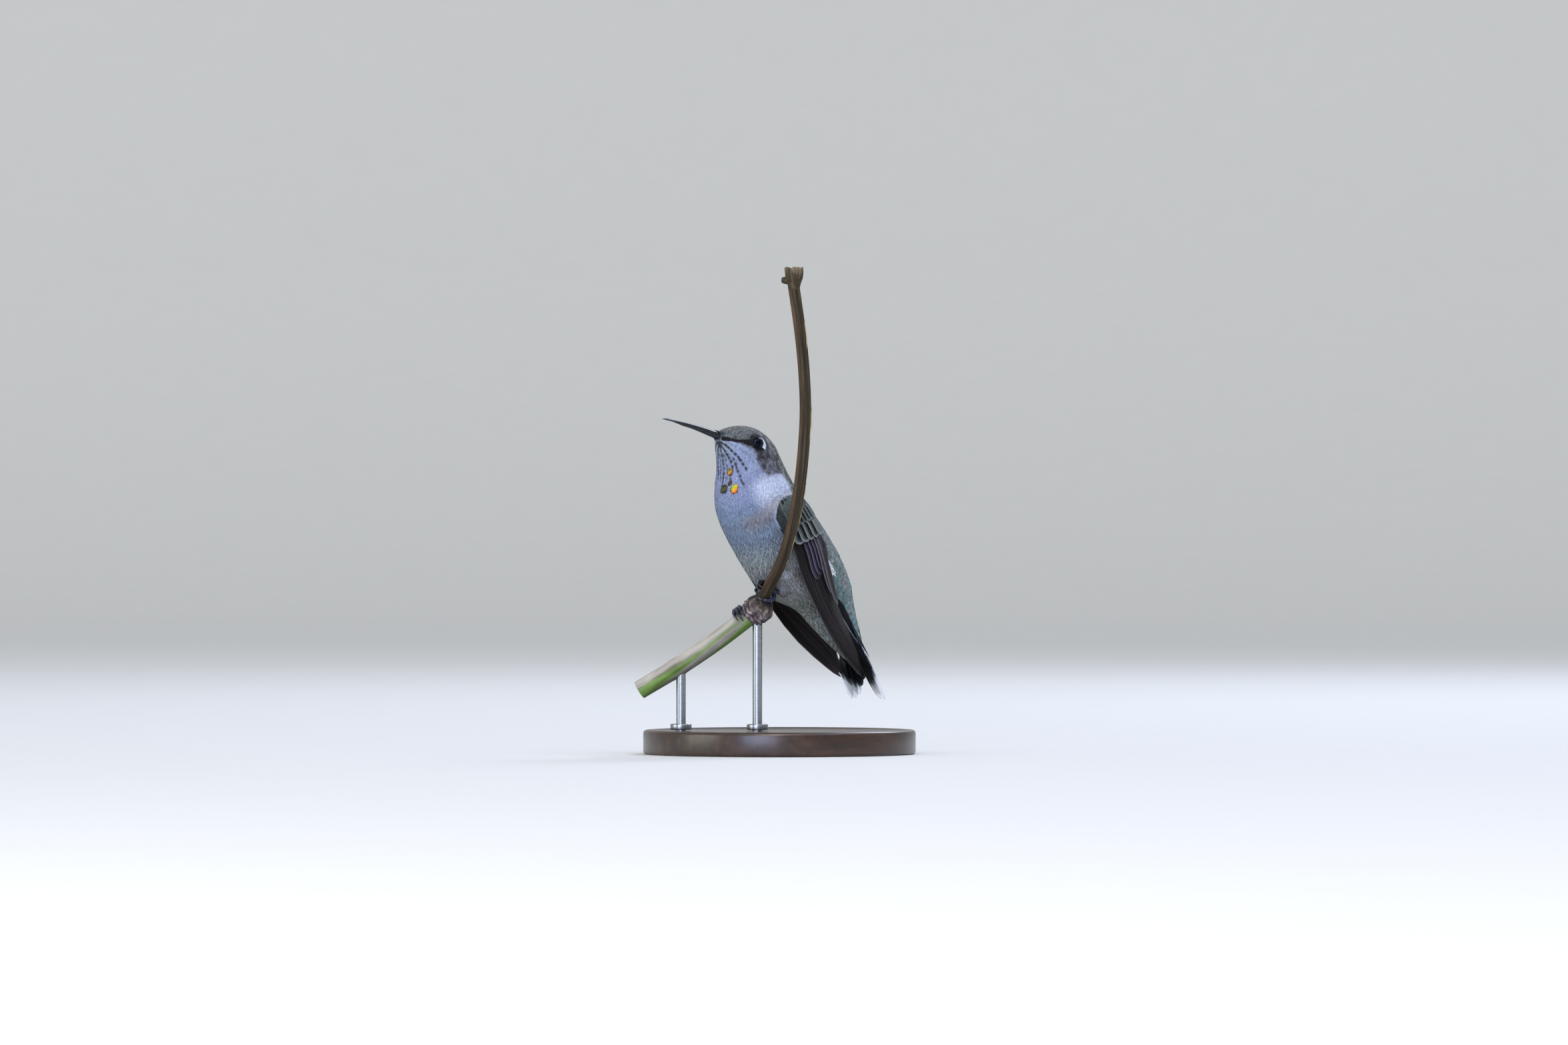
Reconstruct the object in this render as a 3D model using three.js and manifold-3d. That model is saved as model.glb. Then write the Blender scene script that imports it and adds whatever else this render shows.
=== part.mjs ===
// A juvenile male ruby-throated hummingbird, life size, gripping a short cut length of a dry vine
// that a plain display stand holds up. Units are millimetres and +Z is up.
// The bird faces -X and its left side faces -Y. The origin is the centre of the base's underside.
import * as THREE from "three";
import { mergeVertices } from "three/addons/utils/BufferGeometryUtils.js";
import Module from "manifold-3d";

const wasm = await Module();
wasm.setup();

// ---------------------------------------------------------------- driving sizes

const GAP = 0.3; // between neighbouring pieces that touch in life
const VANE_THICKNESS = 0.5;
const SLIVER = 0.05; // details smaller than this are dropped where vanes cross

const STAND = {
  baseRadius: 28,
  baseHeight: 5,
  bevel: 0.8,
  rodRadius: 1.0,
  rodFoot: 3, // how far each rod is let into the base
  collarRadius: 2.2,
  collarHeight: 1.2,
};

const BIRD_OFFSET = new THREE.Vector3(2, 0, 0); // the bird and its perch over the base's centre

const BILL = {
  base: new THREE.Vector3(-18.6, 0, 65.25),
  tip: new THREE.Vector3(-33.9, 0, 68.65),
  bow: 0.3, // how far the middle stands above the straight line
  socketDepth: 2.0, // how far the bill runs back into the head
  halfHeight: 0.86,
  halfWidth: 0.92,
  middleShare: 0.58, // the thickness half way along, as a share of the base
  tipShare: 0.3,
  mouthGap: 0.24,
  lowerEnds: 0.84, // the lower mandible stops here and the upper one closes over it
};

const EYE = {
  centre: new THREE.Vector3(-12.0, 3.85, 63.75),
  radius: 1.5,
  lidRadius: 1.34,
  lidThickness: 0.24,
};

// Measures of the body where a bander would take them, from the bill to the tail:
// the point on the back's profile, the point on the belly's profile, the half width,
// and how far up from the belly the widest place lies.
const BODY = [
  { at: "bill base", back: [-18.9, 66.1], belly: [-18.8, 64.3], half: 1.05, widest: 0.5 },
  { at: "forehead", back: [-17.0, 66.75], belly: [-18.3, 62.9], half: 2.35, widest: 0.55 },
  { at: "lores", back: [-14.9, 67.25], belly: [-17.7, 60.9], half: 3.6, widest: 0.56 },
  { at: "eyes", back: [-12.1, 67.4], belly: [-17.3, 58.6], half: 4.6, widest: 0.56 },
  { at: "crown", back: [-8.7, 66.6], belly: [-17.5, 56.4], half: 5.15, widest: 0.54 },
  { at: "nape", back: [-5.1, 64.1], belly: [-18.0, 54.2], half: 5.6, widest: 0.5 },
  { at: "neck", back: [-2.9, 60.5], belly: [-18.0, 52.0], half: 6.2, widest: 0.48 },
  { at: "mantle", back: [-0.5, 56.3], belly: [-17.3, 49.4], half: 7.3, widest: 0.5 },
  { at: "shoulders", back: [3.3, 51.6], belly: [-15.4, 46.0], half: 8.2, widest: 0.5 },
  { at: "back", back: [8.1, 46.4], belly: [-12.3, 41.6], half: 8.5, widest: 0.48 },
  { at: "lower back", back: [12.8, 40.7], belly: [-8.7, 36.9], half: 8.0, widest: 0.46 },
  { at: "rump", back: [16.2, 35.2], belly: [-4.2, 32.6], half: 6.6, widest: 0.46 },
  { at: "vent", back: [17.9, 30.4], belly: [3.4, 29.4], half: 3.9, widest: 0.5 },
  { at: "tail coverts", back: [19.4, 26.0], belly: [7.1, 26.2], half: 2.7, widest: 0.5 },
  { at: "long coverts", back: [20.4, 22.6], belly: [12.0, 22.4], half: 2.1, widest: 0.5 },
  { at: "covert tips", back: [20.7, 20.2], belly: [15.9, 19.7], half: 1.4, widest: 0.5 },
];
// Where each length of the body ends, in stations of BODY.
const BODY_LENGTHS = { head: 5.3, neck: 7.1, breast: 9.3, belly: 11, rump: 15 };
const RINGS_PER_STATION = 2.4;
const BODY_SIDES = 24;

// The folded wing lies between its leading edge, low along the flank, and its upper edge, along the back.
const WING = {
  leadingEdge: [
    [-8.6, 7.5, 50.6],
    [-6.0, 8.6, 43.8],
    [-3.2, 8.3, 37.3],
    [2.0, 6.8, 30.4],
    [8.2, 5.3, 22.3],
    [16.0, 3.4, 16.2],
  ],
  upperEdge: [
    [-2.3, 6.1, 51.8],
    [1.5, 7.8, 45.2],
    [3.7, 8.2, 39.0],
    [6.9, 6.8, 32.6],
    [13.0, 3.6, 25.4],
    [18.4, 2.9, 17.4],
  ],
  bulge: 0.75,
  pad: [5.3, 4.6, 2.7], // half its width, length and thickness
  padSink: -1.1,
  tilt: 0.3, // how far each vane's outer edge stands above its inner edge
};

const TAIL = {
  root: new THREE.Vector3(12.9, 0, 31.5),
  slope: THREE.MathUtils.degToRad(62), // below the horizontal
  lengths: [18.9, 20.3, 21.9, 22.5, 22.2], // from the middle pair to the outer pair
  tipOffsets: [0.95, 1.95, 2.95, 3.85, 4.7],
  rootOffsets: [0.45, 0.95, 1.5, 2.0, 2.5],
  halfWidths: [1.7, 1.7, 1.6, 1.5, 1.25],
  lift: 0.36, // each pair lies this far under the one nearer the middle
};

// The vine. Its own plane is turned from the bird's heading, and x and y below are along and across that plane.
const VINE = {
  turn: THREE.MathUtils.degToRad(-42),
  stemRadius: 1.25,
  branchRadius: 2.0,
  knotRadius: 3.0,
  knot: new THREE.Vector3(-6.0, -6.1, 29.7),
  branchEnd: new THREE.Vector3(-30.2, -1.6, 13.2),
  branchSag: 0.7,
};

const FEET = {
  toeRadius: 0.42,
  tarsusRadius: 0.5,
  clawLength: 1.7,
  clawRadius: 0.27,
};

// ---------------------------------------------------------------- solids and meshes

const vec = (p) => new THREE.Vector3(...p);
const lerp = THREE.MathUtils.lerp;

// A closed mesh whose faces point out, as a solid that can be joined and cut.
function solidOf(geometry) {
  const bare = new THREE.BufferGeometry();
  bare.setAttribute("position", geometry.getAttribute("position"));
  bare.setIndex(geometry.index);
  const merged = mergeVertices(bare, 1e-4);
  const triVerts = new Uint32Array(merged.index.array);
  const vertProperties = merged.attributes.position.array;
  const make = () => new wasm.Manifold(new wasm.Mesh({ numProp: 3, vertProperties, triVerts }));
  const made = make();
  if (made.volume() > 0) return made;
  for (let i = 0; i < triVerts.length; i += 3) {
    [triVerts[i + 1], triVerts[i + 2]] = [triVerts[i + 2], triVerts[i + 1]];
  }
  return make();
}

// The largest closed surface of a solid, without scraps or sealed hollows.
function largest(solid) {
  const bodies = solid.decompose();
  return bodies.reduce((best, body) => (body.volume() > best.volume() ? body : best));
}

const join = (solids) => largest(solids.reduce((sum, solid) => sum.add(solid)));

// Without the slivers that crossing vanes leave.
const smoothed = (solid) => largest(solid.simplify(SLIVER));

function geometryOf(solid) {
  const mesh = solid.getMesh();
  const position = new Float32Array(mesh.numVert * 3);
  for (let i = 0; i < mesh.numVert; i++) {
    position.set(mesh.vertProperties.subarray(i * mesh.numProp, i * mesh.numProp + 3), i * 3);
  }
  const geometry = new THREE.BufferGeometry();
  geometry.setAttribute("position", new THREE.BufferAttribute(position, 3));
  geometry.setIndex(new THREE.BufferAttribute(new Uint32Array(mesh.triVerts), 1));
  geometry.computeVertexNormals();
  return geometry;
}

// A skin over rings of equal count, closed at both ends. Sides listed in turned are split along
// the other diagonal, so that both faces of a thin sheet are split alike.
function loft(rings, turned = []) {
  const sides = rings[0].length;
  const position = rings.flat().flatMap((p) => [p.x, p.y, p.z]);
  const index = [];
  for (let i = 0; i + 1 < rings.length; i++) {
    for (let j = 0; j < sides; j++) {
      const a = i * sides + j;
      const b = i * sides + ((j + 1) % sides);
      const c = a + sides;
      const d = b + sides;
      if (turned.includes(j)) index.push(a, b, c, b, d, c);
      else index.push(a, b, d, a, d, c);
    }
  }
  for (const [ring, first] of [[rings[0], 0], [rings.at(-1), (rings.length - 1) * sides]]) {
    const centre = ring.reduce((sum, p) => sum.add(p), new THREE.Vector3()).divideScalar(sides);
    const hub = position.length / 3;
    position.push(centre.x, centre.y, centre.z);
    for (let j = 0; j < sides; j++) {
      const next = first + ((j + 1) % sides);
      if (first === 0) index.push(hub, next, first + j);
      else index.push(hub, first + j, next);
    }
  }
  const geometry = new THREE.BufferGeometry();
  geometry.setAttribute("position", new THREE.Float32BufferAttribute(position, 3));
  geometry.setIndex(index);
  return geometry;
}

// A round tube along a curve, whose radius is a function of the share of its length.
function tube(curve, radius, steps, sides = 8) {
  const frames = curve.computeFrenetFrames(steps, false);
  const rings = [];
  for (let i = 0; i <= steps; i++) {
    const share = i / steps;
    const centre = curve.getPointAt(share);
    const r = radius(share);
    const ring = [];
    for (let j = 0; j < sides; j++) {
      const turn = (2 * Math.PI * j) / sides;
      ring.push(
        centre
          .clone()
          .addScaledVector(frames.normals[i], r * Math.cos(turn))
          .addScaledVector(frames.binormals[i], r * Math.sin(turn)),
      );
    }
    rings.push(ring);
  }
  return solidOf(loft(rings));
}

const curveThrough = (points) => new THREE.CatmullRomCurve3(points, false, "centripetal");

function ball(centre, radii, detail = 12) {
  const sphere = new THREE.SphereGeometry(1, detail, Math.round(detail * 0.6));
  const r = typeof radii === "number" ? [radii, radii, radii] : radii;
  return solidOf(sphere.scale(...r).translate(centre.x, centre.y, centre.z));
}

const mirrored = (solid) => solid.mirror([0, 1, 0]);

// ---------------------------------------------------------------- the body

const backLine = curveThrough(BODY.map((s) => new THREE.Vector3(s.back[0], 0, s.back[1])));
const bellyLine = curveThrough(BODY.map((s) => new THREE.Vector3(s.belly[0], 0, s.belly[1])));
const halfLine = curveThrough(BODY.map((s, i) => new THREE.Vector3(i, s.half, s.widest)));

// The body's cross-section at a station, which may lie between two, pushed out by a clearance.
function bodyRing(station, clearance = 0) {
  const share = station / (BODY.length - 1);
  const back = backLine.getPoint(share);
  const belly = bellyLine.getPoint(share);
  const size = halfLine.getPoint(share);
  const up = back.clone().sub(belly);
  const depth = up.length();
  up.normalize();
  const below = depth * size.z + clearance;
  const above = depth * (1 - size.z) + clearance;
  const centre = belly.clone().addScaledVector(up, depth * size.z);
  const ring = [];
  for (let j = 0; j < BODY_SIDES; j++) {
    const turn = (2 * Math.PI * j) / BODY_SIDES;
    const rise = Math.cos(turn);
    const point = centre.clone().addScaledVector(up, rise * (rise > 0 ? above : below));
    point.y = Math.sin(turn) * (size.y + clearance);
    ring.push(point);
  }
  return ring;
}

// How far before a station a length ends, in stations, to leave the gap where the two lie closest.
function gapBefore(station) {
  const here = station / (BODY.length - 1);
  const before = (station - 0.1) / (BODY.length - 1);
  const spans = [backLine, bellyLine].map((line) => line.getPoint(here).distanceTo(line.getPoint(before)));
  return (0.1 * GAP) / Math.min(...spans);
}

// The body from one station to another.
function bodyLength(from, to, clearance = 0) {
  const count = Math.ceil((to - from) * RINGS_PER_STATION);
  const rings = [];
  for (let i = 0; i <= count; i++) rings.push(bodyRing(lerp(from, to, i / count), clearance));
  return solidOf(loft(rings));
}

// ---------------------------------------------------------------- vanes

const LONG_VANE = [0, 0.3, 0.6, 0.85, 0.95, 1]; // where a feather's cross-sections lie
const EDGE_VANE = [0, 0.2, 0.4, 0.55, 0.7, 0.84, 0.94, 1];
const SHORT_VANE = [0, 0.45, 0.8, 0.94, 1];

// One feather on a sheet. place(v, across) gives the point and the outward normal at the share v of
// its length and across millimetres from its shaft; half(v) is the half width there and lift(v) how
// far it lies above the sheet. Its outer edge, at negative across, stands higher by tilt.
function vane({ place, half, lift, tilt = 0, stations = LONG_VANE }) {
  const rings = stations.map((v) => {
    const h = half(v);
    const thick = VANE_THICKNESS * (v > 0.95 ? 0.75 : 1);
    const corner = (side, face) => {
      const { point, normal } = place(v, side * h);
      return point.clone().addScaledVector(normal, lift(v) - side * tilt * 0.5 + (face * thick) / 2);
    };
    return [corner(-1, 1), corner(1, 1), corner(1, -1), corner(-1, -1)];
  });
  return solidOf(loft(rings, [2]));
}

// The half width of a feather: narrow at the quill, full past a quarter of its length and round at the tip.
function featherShape(width) {
  return (v) => {
    const quill = 0.45 + 0.55 * Math.min(1, v / 0.25);
    const end = v < 0.7 ? 1 : Math.pow(Math.max(0, 1 - Math.pow((v - 0.7) / 0.3, 2.2)), 0.55);
    return Math.max(0.2, (width / 2) * quill * end);
  };
}

// ---------------------------------------------------------------- the tail

const tailAxis = new THREE.Vector3(Math.cos(TAIL.slope), 0, -Math.sin(TAIL.slope));
const tailUp = new THREE.Vector3(Math.sin(TAIL.slope), 0, Math.cos(TAIL.slope));

const tailAside = (pair, v) => lerp(TAIL.rootOffsets[pair], TAIL.tipOffsets[pair], Math.pow(v, 1.4));

function tailPoint(along, aside, above) {
  const point = TAIL.root.clone().addScaledVector(tailAxis, along).addScaledVector(tailUp, above);
  point.y = aside;
  return point;
}

function rectrix(pair, side) {
  const place = (v, across) => ({
    point: tailPoint(TAIL.lengths[pair] * v, side * tailAside(pair, v) + across, 0),
    normal: tailUp,
  });
  const rise = (2 - pair) * TAIL.lift;
  return vane({
    place,
    half: featherShape(2 * TAIL.halfWidths[pair]),
    tilt: side * 0.24,
    lift: (v) => rise * (0.55 + 0.45 * v),
  });
}

function tailSolid() {
  const vanes = [];
  for (const side of [-1, 1]) {
    for (let pair = 0; pair < TAIL.lengths.length; pair++) vanes.push(rectrix(pair, side));
  }
  return join(vanes);
}

// The space that the tail's roots keep free inside the coverts.
function tailSleeve() {
  const outer = TAIL.lengths.length - 1;
  const rings = [-0.04, 0.2, 0.4, 0.6, 0.8].map((v) => {
    const wide = tailAside(outer, Math.max(0, v)) + featherShape(2 * TAIL.halfWidths[outer])(0.5) + GAP;
    const high = 2 * TAIL.lift * (0.55 + 0.45 * v) + VANE_THICKNESS / 2 + 0.12 + GAP;
    const along = TAIL.lengths[outer] * v;
    return [
      tailPoint(along, -wide, -high),
      tailPoint(along, wide, -high),
      tailPoint(along, wide * 0.9, high * 0.45),
      tailPoint(along, wide * 0.45, high),
      tailPoint(along, -wide * 0.45, high),
      tailPoint(along, -wide * 0.9, high * 0.45),
    ];
  });
  return solidOf(loft(rings));
}

// ---------------------------------------------------------------- the wings

const leadingLine = curveThrough(WING.leadingEdge.map(vec));
const upperLine = curveThrough(WING.upperEdge.map(vec));

// A point of the right wing's sheet: s runs from the wrist to the tip, t from the leading edge to the upper one.
function wingPoint(s, t) {
  const run = THREE.MathUtils.clamp(s, 0, 1);
  const point = leadingLine.getPoint(run).lerp(upperLine.getPoint(run), t);
  const within = THREE.MathUtils.clamp(t, 0, 1);
  point.y += WING.bulge * 4 * within * (1 - within) * (1 - 0.7 * run);
  return point;
}

function wingNormal(s, t) {
  const step = 0.02;
  const s0 = Math.min(s, 1 - step);
  const along = wingPoint(s0 + step, t).sub(wingPoint(s0, t));
  const across = wingPoint(s, t + step).sub(wingPoint(s, t - step));
  const normal = along.cross(across).normalize();
  return normal.y < 0 ? normal.negate() : normal;
}

// A feather of the right wing from one place on the sheet to another.
function quill({ root, tip, width, lift, stations, turn, tilt = WING.tilt }) {
  const centre = (v) => [lerp(root[0], tip[0], v), lerp(root[1], tip[1], Math.pow(v, turn))];
  const place = (v, across) => {
    const [s, t] = centre(v);
    const normal = wingNormal(s, t);
    const [s0, t0] = centre(Math.max(0, v - 0.03));
    const [s1, t1] = centre(Math.min(1, v + 0.03));
    const along = wingPoint(s1, t1).sub(wingPoint(s0, t0)).normalize();
    const aside = along.cross(normal).normalize();
    if (aside.dot(wingPoint(s, 0.6).sub(wingPoint(s, 0.4))) < 0) aside.negate();
    return { point: wingPoint(s, t).addScaledVector(aside, across), normal };
  };
  return vane({ place, half: featherShape(width), stations, tilt, lift });
}

function rightWing() {
  const feathers = [];
  // Each row: how many feathers, then for the outermost and the innermost one where the root and the
  // tip lie on the sheet, how wide they are, and how high the row lies above the sheet.
  const rows = [
    {
      name: "primaries",
      count: 9,
      roots: [[0.1, 0.08], [0.12, 0.72]],
      tips: [[1.0, 0.4], [0.68, 0.94]],
      gather: 0.42,
      turn: 2.0,
      width: 2.2,
      base: 0,
      step: 0.08,
      stations: LONG_VANE,
    },
    {
      name: "secondaries",
      count: 5,
      roots: [[0.14, 0.4], [0.14, 0.86]],
      tips: [[0.44, 0.44], [0.35, 0.94]],
      turn: 0.8,
      width: 2.2,
      base: 0.7,
      step: 0.06,
      stations: SHORT_VANE,
    },
    {
      name: "greater coverts",
      count: 6,
      roots: [[0.05, 0.14], [0.05, 0.84]],
      tips: [[0.22, 0.16], [0.2, 0.94]],
      turn: 0.8,
      width: 2.4,
      base: 1.1,
      step: 0.03,
      stations: SHORT_VANE,
    },
    {
      name: "median coverts",
      count: 5,
      roots: [[-0.02, 0.16], [-0.02, 0.84]],
      tips: [[0.12, 0.14], [0.11, 0.92]],
      turn: 0.8,
      width: 2.6,
      base: 1.4,
      step: 0.02,
      stations: SHORT_VANE,
    },
  ];
  for (const row of rows) {
    for (let i = 0; i < row.count; i++) {
      const inward = i / (row.count - 1);
      const pick = (pair, gather = 1) => [
        lerp(pair[0][0], pair[1][0], inward),
        lerp(pair[0][1], pair[1][1], Math.pow(inward, gather)),
      ];
      const height = row.base + row.step * i;
      feathers.push(
        quill({
          root: pick(row.roots),
          tip: pick(row.tips, row.gather),
          width: row.width * (row.name === "primaries" && i === 0 ? 0.82 : 1),
          stations: row.name === "primaries" && i < 2 ? EDGE_VANE : row.stations,
          turn: row.turn,
          lift: (v) => height * (row.name === "primaries" ? 1 - 0.6 * v : 0.35 + 0.65 * Math.min(1, v / 0.5)),
        }),
      );
    }
  }
  // The innermost feather, which lies along the back's edge.
  feathers.push(
    quill({ root: [0.2, 0.78], tip: [0.62, 0.84], width: 1.7, stations: SHORT_VANE, turn: 1, lift: () => 1.15 }),
  );
  // The folded arm under its small coverts, as one low pad at the bend of the wing.
  const normal = wingNormal(0.06, 0.5);
  const across = wingPoint(0.06, 0.95).sub(wingPoint(0.06, 0.05));
  across.addScaledVector(normal, -across.dot(normal)).normalize();
  const along = across.clone().cross(normal);
  const middle = wingPoint(0.05, 0.48).addScaledVector(normal, WING.padSink);
  const [wide, long, thick] = WING.pad;
  const place = new THREE.Matrix4().makeBasis(
    across.multiplyScalar(wide),
    along.multiplyScalar(long),
    normal.multiplyScalar(thick),
  );
  feathers.push(solidOf(new THREE.SphereGeometry(1, 18, 12).applyMatrix4(place.setPosition(middle))));
  return join(feathers);
}

// ---------------------------------------------------------------- the bill and the eyes

function billCurve() {
  const back = BILL.base.clone().sub(BILL.tip).normalize();
  const root = BILL.base.clone().addScaledVector(back, BILL.socketDepth);
  const middle = BILL.base.clone().lerp(BILL.tip, 0.5).add(new THREE.Vector3(0, 0, BILL.bow));
  return curveThrough([root, BILL.base, middle, BILL.tip]);
}

function billShare(share) {
  if (share < 0.5) return lerp(1, BILL.middleShare, share / 0.5);
  if (share < 0.92) return lerp(BILL.middleShare, BILL.tipShare + 0.12, (share - 0.5) / 0.42);
  return lerp(BILL.tipShare + 0.12, 0.14, (share - 0.92) / 0.08);
}

function billSolid(grow = 0) {
  const curve = billCurve();
  const steps = 12;
  const sides = 10;
  const rings = [];
  for (let i = 0; i <= steps; i++) {
    const share = i / steps;
    const centre = curve.getPointAt(share);
    const along = curve.getTangentAt(share);
    if (i === 0) centre.addScaledVector(along, -grow);
    const up = new THREE.Vector3(-along.z, 0, along.x).multiplyScalar(along.x < 0 ? -1 : 1);
    const size = billShare(Math.max(0, (share - 0.1) / 0.9));
    const ring = [];
    for (let j = 0; j < sides; j++) {
      const turn = (2 * Math.PI * j) / sides;
      const point = centre.clone().addScaledVector(up, Math.cos(turn) * (BILL.halfHeight * size + grow));
      point.y = Math.sin(turn) * (BILL.halfWidth * size + grow);
      ring.push(point);
    }
    rings.push(ring);
  }
  return solidOf(loft(rings));
}

// The thin slice between the mandibles, which turns down out of the bill near the tip.
function mouthLine() {
  const curve = billCurve();
  const steps = 8;
  const rings = [];
  for (let i = 0; i <= steps; i++) {
    const share = lerp(-0.02, BILL.lowerEnds, i / steps);
    const centre = share < 0
      ? curve.getPointAt(0).addScaledVector(curve.getTangentAt(0), -1)
      : curve.getPointAt(share);
    const drop = 0.08 + (i === steps ? 1.2 : 0);
    const wide = 3;
    const corner = (y, z) => new THREE.Vector3(centre.x, y, centre.z - drop + z);
    rings.push([
      corner(-wide, BILL.mouthGap / 2),
      corner(wide, BILL.mouthGap / 2),
      corner(wide, -BILL.mouthGap / 2),
      corner(-wide, -BILL.mouthGap / 2),
    ]);
  }
  return solidOf(loft(rings, [2]));
}

function bothMandibles() {
  const parts = billSolid().subtract(mouthLine()).decompose();
  parts.sort((a, b) => b.volume() - a.volume());
  const [first, second] = parts;
  const top = (solid) => solid.boundingBox().max[2];
  return top(first) > top(second) ? [first, second] : [second, first];
}

function nostril(side) {
  const along = BILL.base.clone().sub(BILL.tip).normalize();
  const slit = new THREE.SphereGeometry(1, 8, 6).scale(0.75, 0.3, 0.11);
  slit.rotateY(Math.asin(along.z) * -1 + 0.08);
  const middle = BILL.base.clone().addScaledVector(along, -1.9);
  return solidOf(slit.translate(middle.x, side * 0.86, middle.z + 0.38));
}

// The rim of lids round the eye: a ring that lies on the side of the head.
function lids() {
  const ring = new THREE.TorusGeometry(EYE.lidRadius, EYE.lidThickness, 5, 16);
  const outward = new THREE.Vector3(-0.22, 1, 0.1).normalize();
  ring.applyQuaternion(new THREE.Quaternion().setFromUnitVectors(new THREE.Vector3(0, 0, 1), outward));
  const middle = EYE.centre.clone().addScaledVector(outward, 0.75);
  return solidOf(ring.translate(middle.x, middle.y, middle.z));
}

// ---------------------------------------------------------------- the vine and the stand

const toWorld = (p) => p.clone().applyAxisAngle(new THREE.Vector3(0, 0, 1), VINE.turn);

// The upright stem from the knot to its broken end, and the branch from the knot to its sawn end.
const stemPoints = [
  VINE.knot,
  new THREE.Vector3(-3.6, -8.6, 34.6),
  new THREE.Vector3(-1.3, -11.6, 39.0),
  new THREE.Vector3(0.3, -13.3, 43.7),
  new THREE.Vector3(1.4, -14.3, 48.2),
  new THREE.Vector3(2.3, -14.7, 53.0),
  new THREE.Vector3(3.2, -14.6, 60.0),
  new THREE.Vector3(3.8, -14.2, 69.0),
  new THREE.Vector3(3.6, -13.8, 77.0),
  new THREE.Vector3(2.8, -13.4, 86.0),
  new THREE.Vector3(1.5, -13.1, 95.6),
].map(toWorld);
const stemCurve = curveThrough(stemPoints);

const branchCurve = curveThrough(
  [0, 0.34, 0.67, 1].map((share) => {
    const point = VINE.knot.clone().lerp(VINE.branchEnd, share);
    point.z -= VINE.branchSag * 4 * share * (1 - share);
    return toWorld(point);
  }),
);

function between(curve, from, to, steps) {
  const points = [];
  for (let i = 0; i <= steps; i++) points.push(curve.getPointAt(lerp(from, to, i / steps)));
  return curveThrough(points);
}

// A round rod of one thickness along a curve.
function rod(curve, radius, steps) {
  const section = new THREE.Shape();
  section.absarc(0, 0, radius, 0, 2 * Math.PI);
  const options = { steps, extrudePath: curve, bevelEnabled: false, curveSegments: 6 };
  return solidOf(new THREE.ExtrudeGeometry(section, options));
}

const stemLength = stemCurve.getLength();
const branchLength = branchCurve.getLength();

function stemPiece(from, to, steps, clearance = 0) {
  return rod(between(stemCurve, from / stemLength, to / stemLength, steps), VINE.stemRadius + clearance, steps);
}

const knotCentre = toWorld(VINE.knot);

function knotSolid(clearance = 0) {
  const r = VINE.knotRadius + clearance;
  const lump = new THREE.SphereGeometry(1, 14, 10).scale(r * 1.02, r * 0.95, r);
  const along = branchCurve.getTangentAt(0.1);
  lump.applyQuaternion(new THREE.Quaternion().setFromUnitVectors(new THREE.Vector3(1, 0, 0), along));
  return solidOf(lump.translate(knotCentre.x, knotCentre.y, knotCentre.z));
}

const STEM_CUTS = [2.3, 22, 44, 0]; // from the knot's centre along the stem, the last is the stem's end
STEM_CUTS[3] = stemLength;

function branchSolid(clearance = 0) {
  const from = (VINE.knotRadius - 1.0) / branchLength;
  return rod(between(branchCurve, from, 1, 8), VINE.branchRadius + clearance, 8);
}

// The stem's broken end: a small torn cup with a stub of a side shoot under it.
function stemEnd() {
  const top = stemCurve.getPointAt(1);
  const profile = [
    [0, -1.6], [1.15, -1.6], [1.3, -0.6], [1.75, 0.6], [1.95, 2.9], [1.45, 3.1], [1.15, 1.4], [0, 0.9],
  ].map(([r, z]) => new THREE.Vector2(r, z));
  const turned = new THREE.LatheGeometry(profile, 10).rotateX(Math.PI / 2);
  const cup = solidOf(turned.translate(top.x, top.y, top.z + 1.2));
  const shoot = toWorld(new THREE.Vector3(-1, -0.35, 0.1)).setLength(2.6);
  const stub = tube(
    new THREE.LineCurve3(top.clone().add(new THREE.Vector3(0, 0, 1.3)), top.clone().add(new THREE.Vector3(0, 0, 1.3)).add(shoot)),
    (share) => 0.95 - 0.3 * share,
    2,
    8,
  );
  return cup.add(stub);
}

// ---------------------------------------------------------------- legs and feet

// A toe laid round a rod: its turn is measured about the rod's axis from the side that faces the bird.
function wrapAround({ centre, axis, inward, radius }) {
  const a = axis.clone().normalize();
  const x = inward.clone().addScaledVector(a, -inward.dot(a)).normalize();
  const y = a.clone().cross(x);
  return (turn, slide, reach = 0) =>
    centre
      .clone()
      .addScaledVector(a, slide)
      .addScaledVector(x, (radius + reach) * Math.cos(turn))
      .addScaledVector(y, (radius + reach) * Math.sin(turn));
}

function toe(wrap, from, to, slideFrom, slideTo) {
  const points = [];
  const steps = 6;
  for (let i = 0; i <= steps; i++) {
    const share = i / steps;
    points.push(wrap(lerp(from, to, share), lerp(slideFrom, slideTo, share)));
  }
  return tube(curveThrough(points), (share) => FEET.toeRadius * (1.05 - 0.2 * share), 6, 6);
}

// A claw that goes on from a toe's end, round the rod and a little away from it.
function claw(wrap, start, slide, radius) {
  const way = Math.sign(start);
  const first = start + (way * (GAP + 0.1)) / radius;
  const points = [];
  for (let i = 0; i <= 3; i++) {
    const share = i / 3;
    const turn = first + (way * FEET.clawLength * share) / radius;
    points.push(wrap(turn, slide, 0.35 * Math.sin(Math.PI * share * 0.75) - 0.1 * share));
  }
  return tube(curveThrough(points), (share) => FEET.clawRadius * (1.02 - 0.8 * share), 4, 5);
}

// ---------------------------------------------------------------- the whole model

const colours = {
  head: 0x5d6157,
  neck: 0xb9bcc8,
  breast: 0xb2b3ba,
  belly: 0xa5a69f,
  rump: 0x6f8377,
  wing: 0x2b282c,
  tail: 0x1d1e21,
  bill: 0x23252b,
  eye: 0x0c0d12,
  foot: 0x2a2c3c,
  claw: 0x15151c,
  bark: 0x77665a,
  stem: 0x5a4633,
  steel: 0x9a9da1,
  wood: 0x3a2a20,
};

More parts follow.
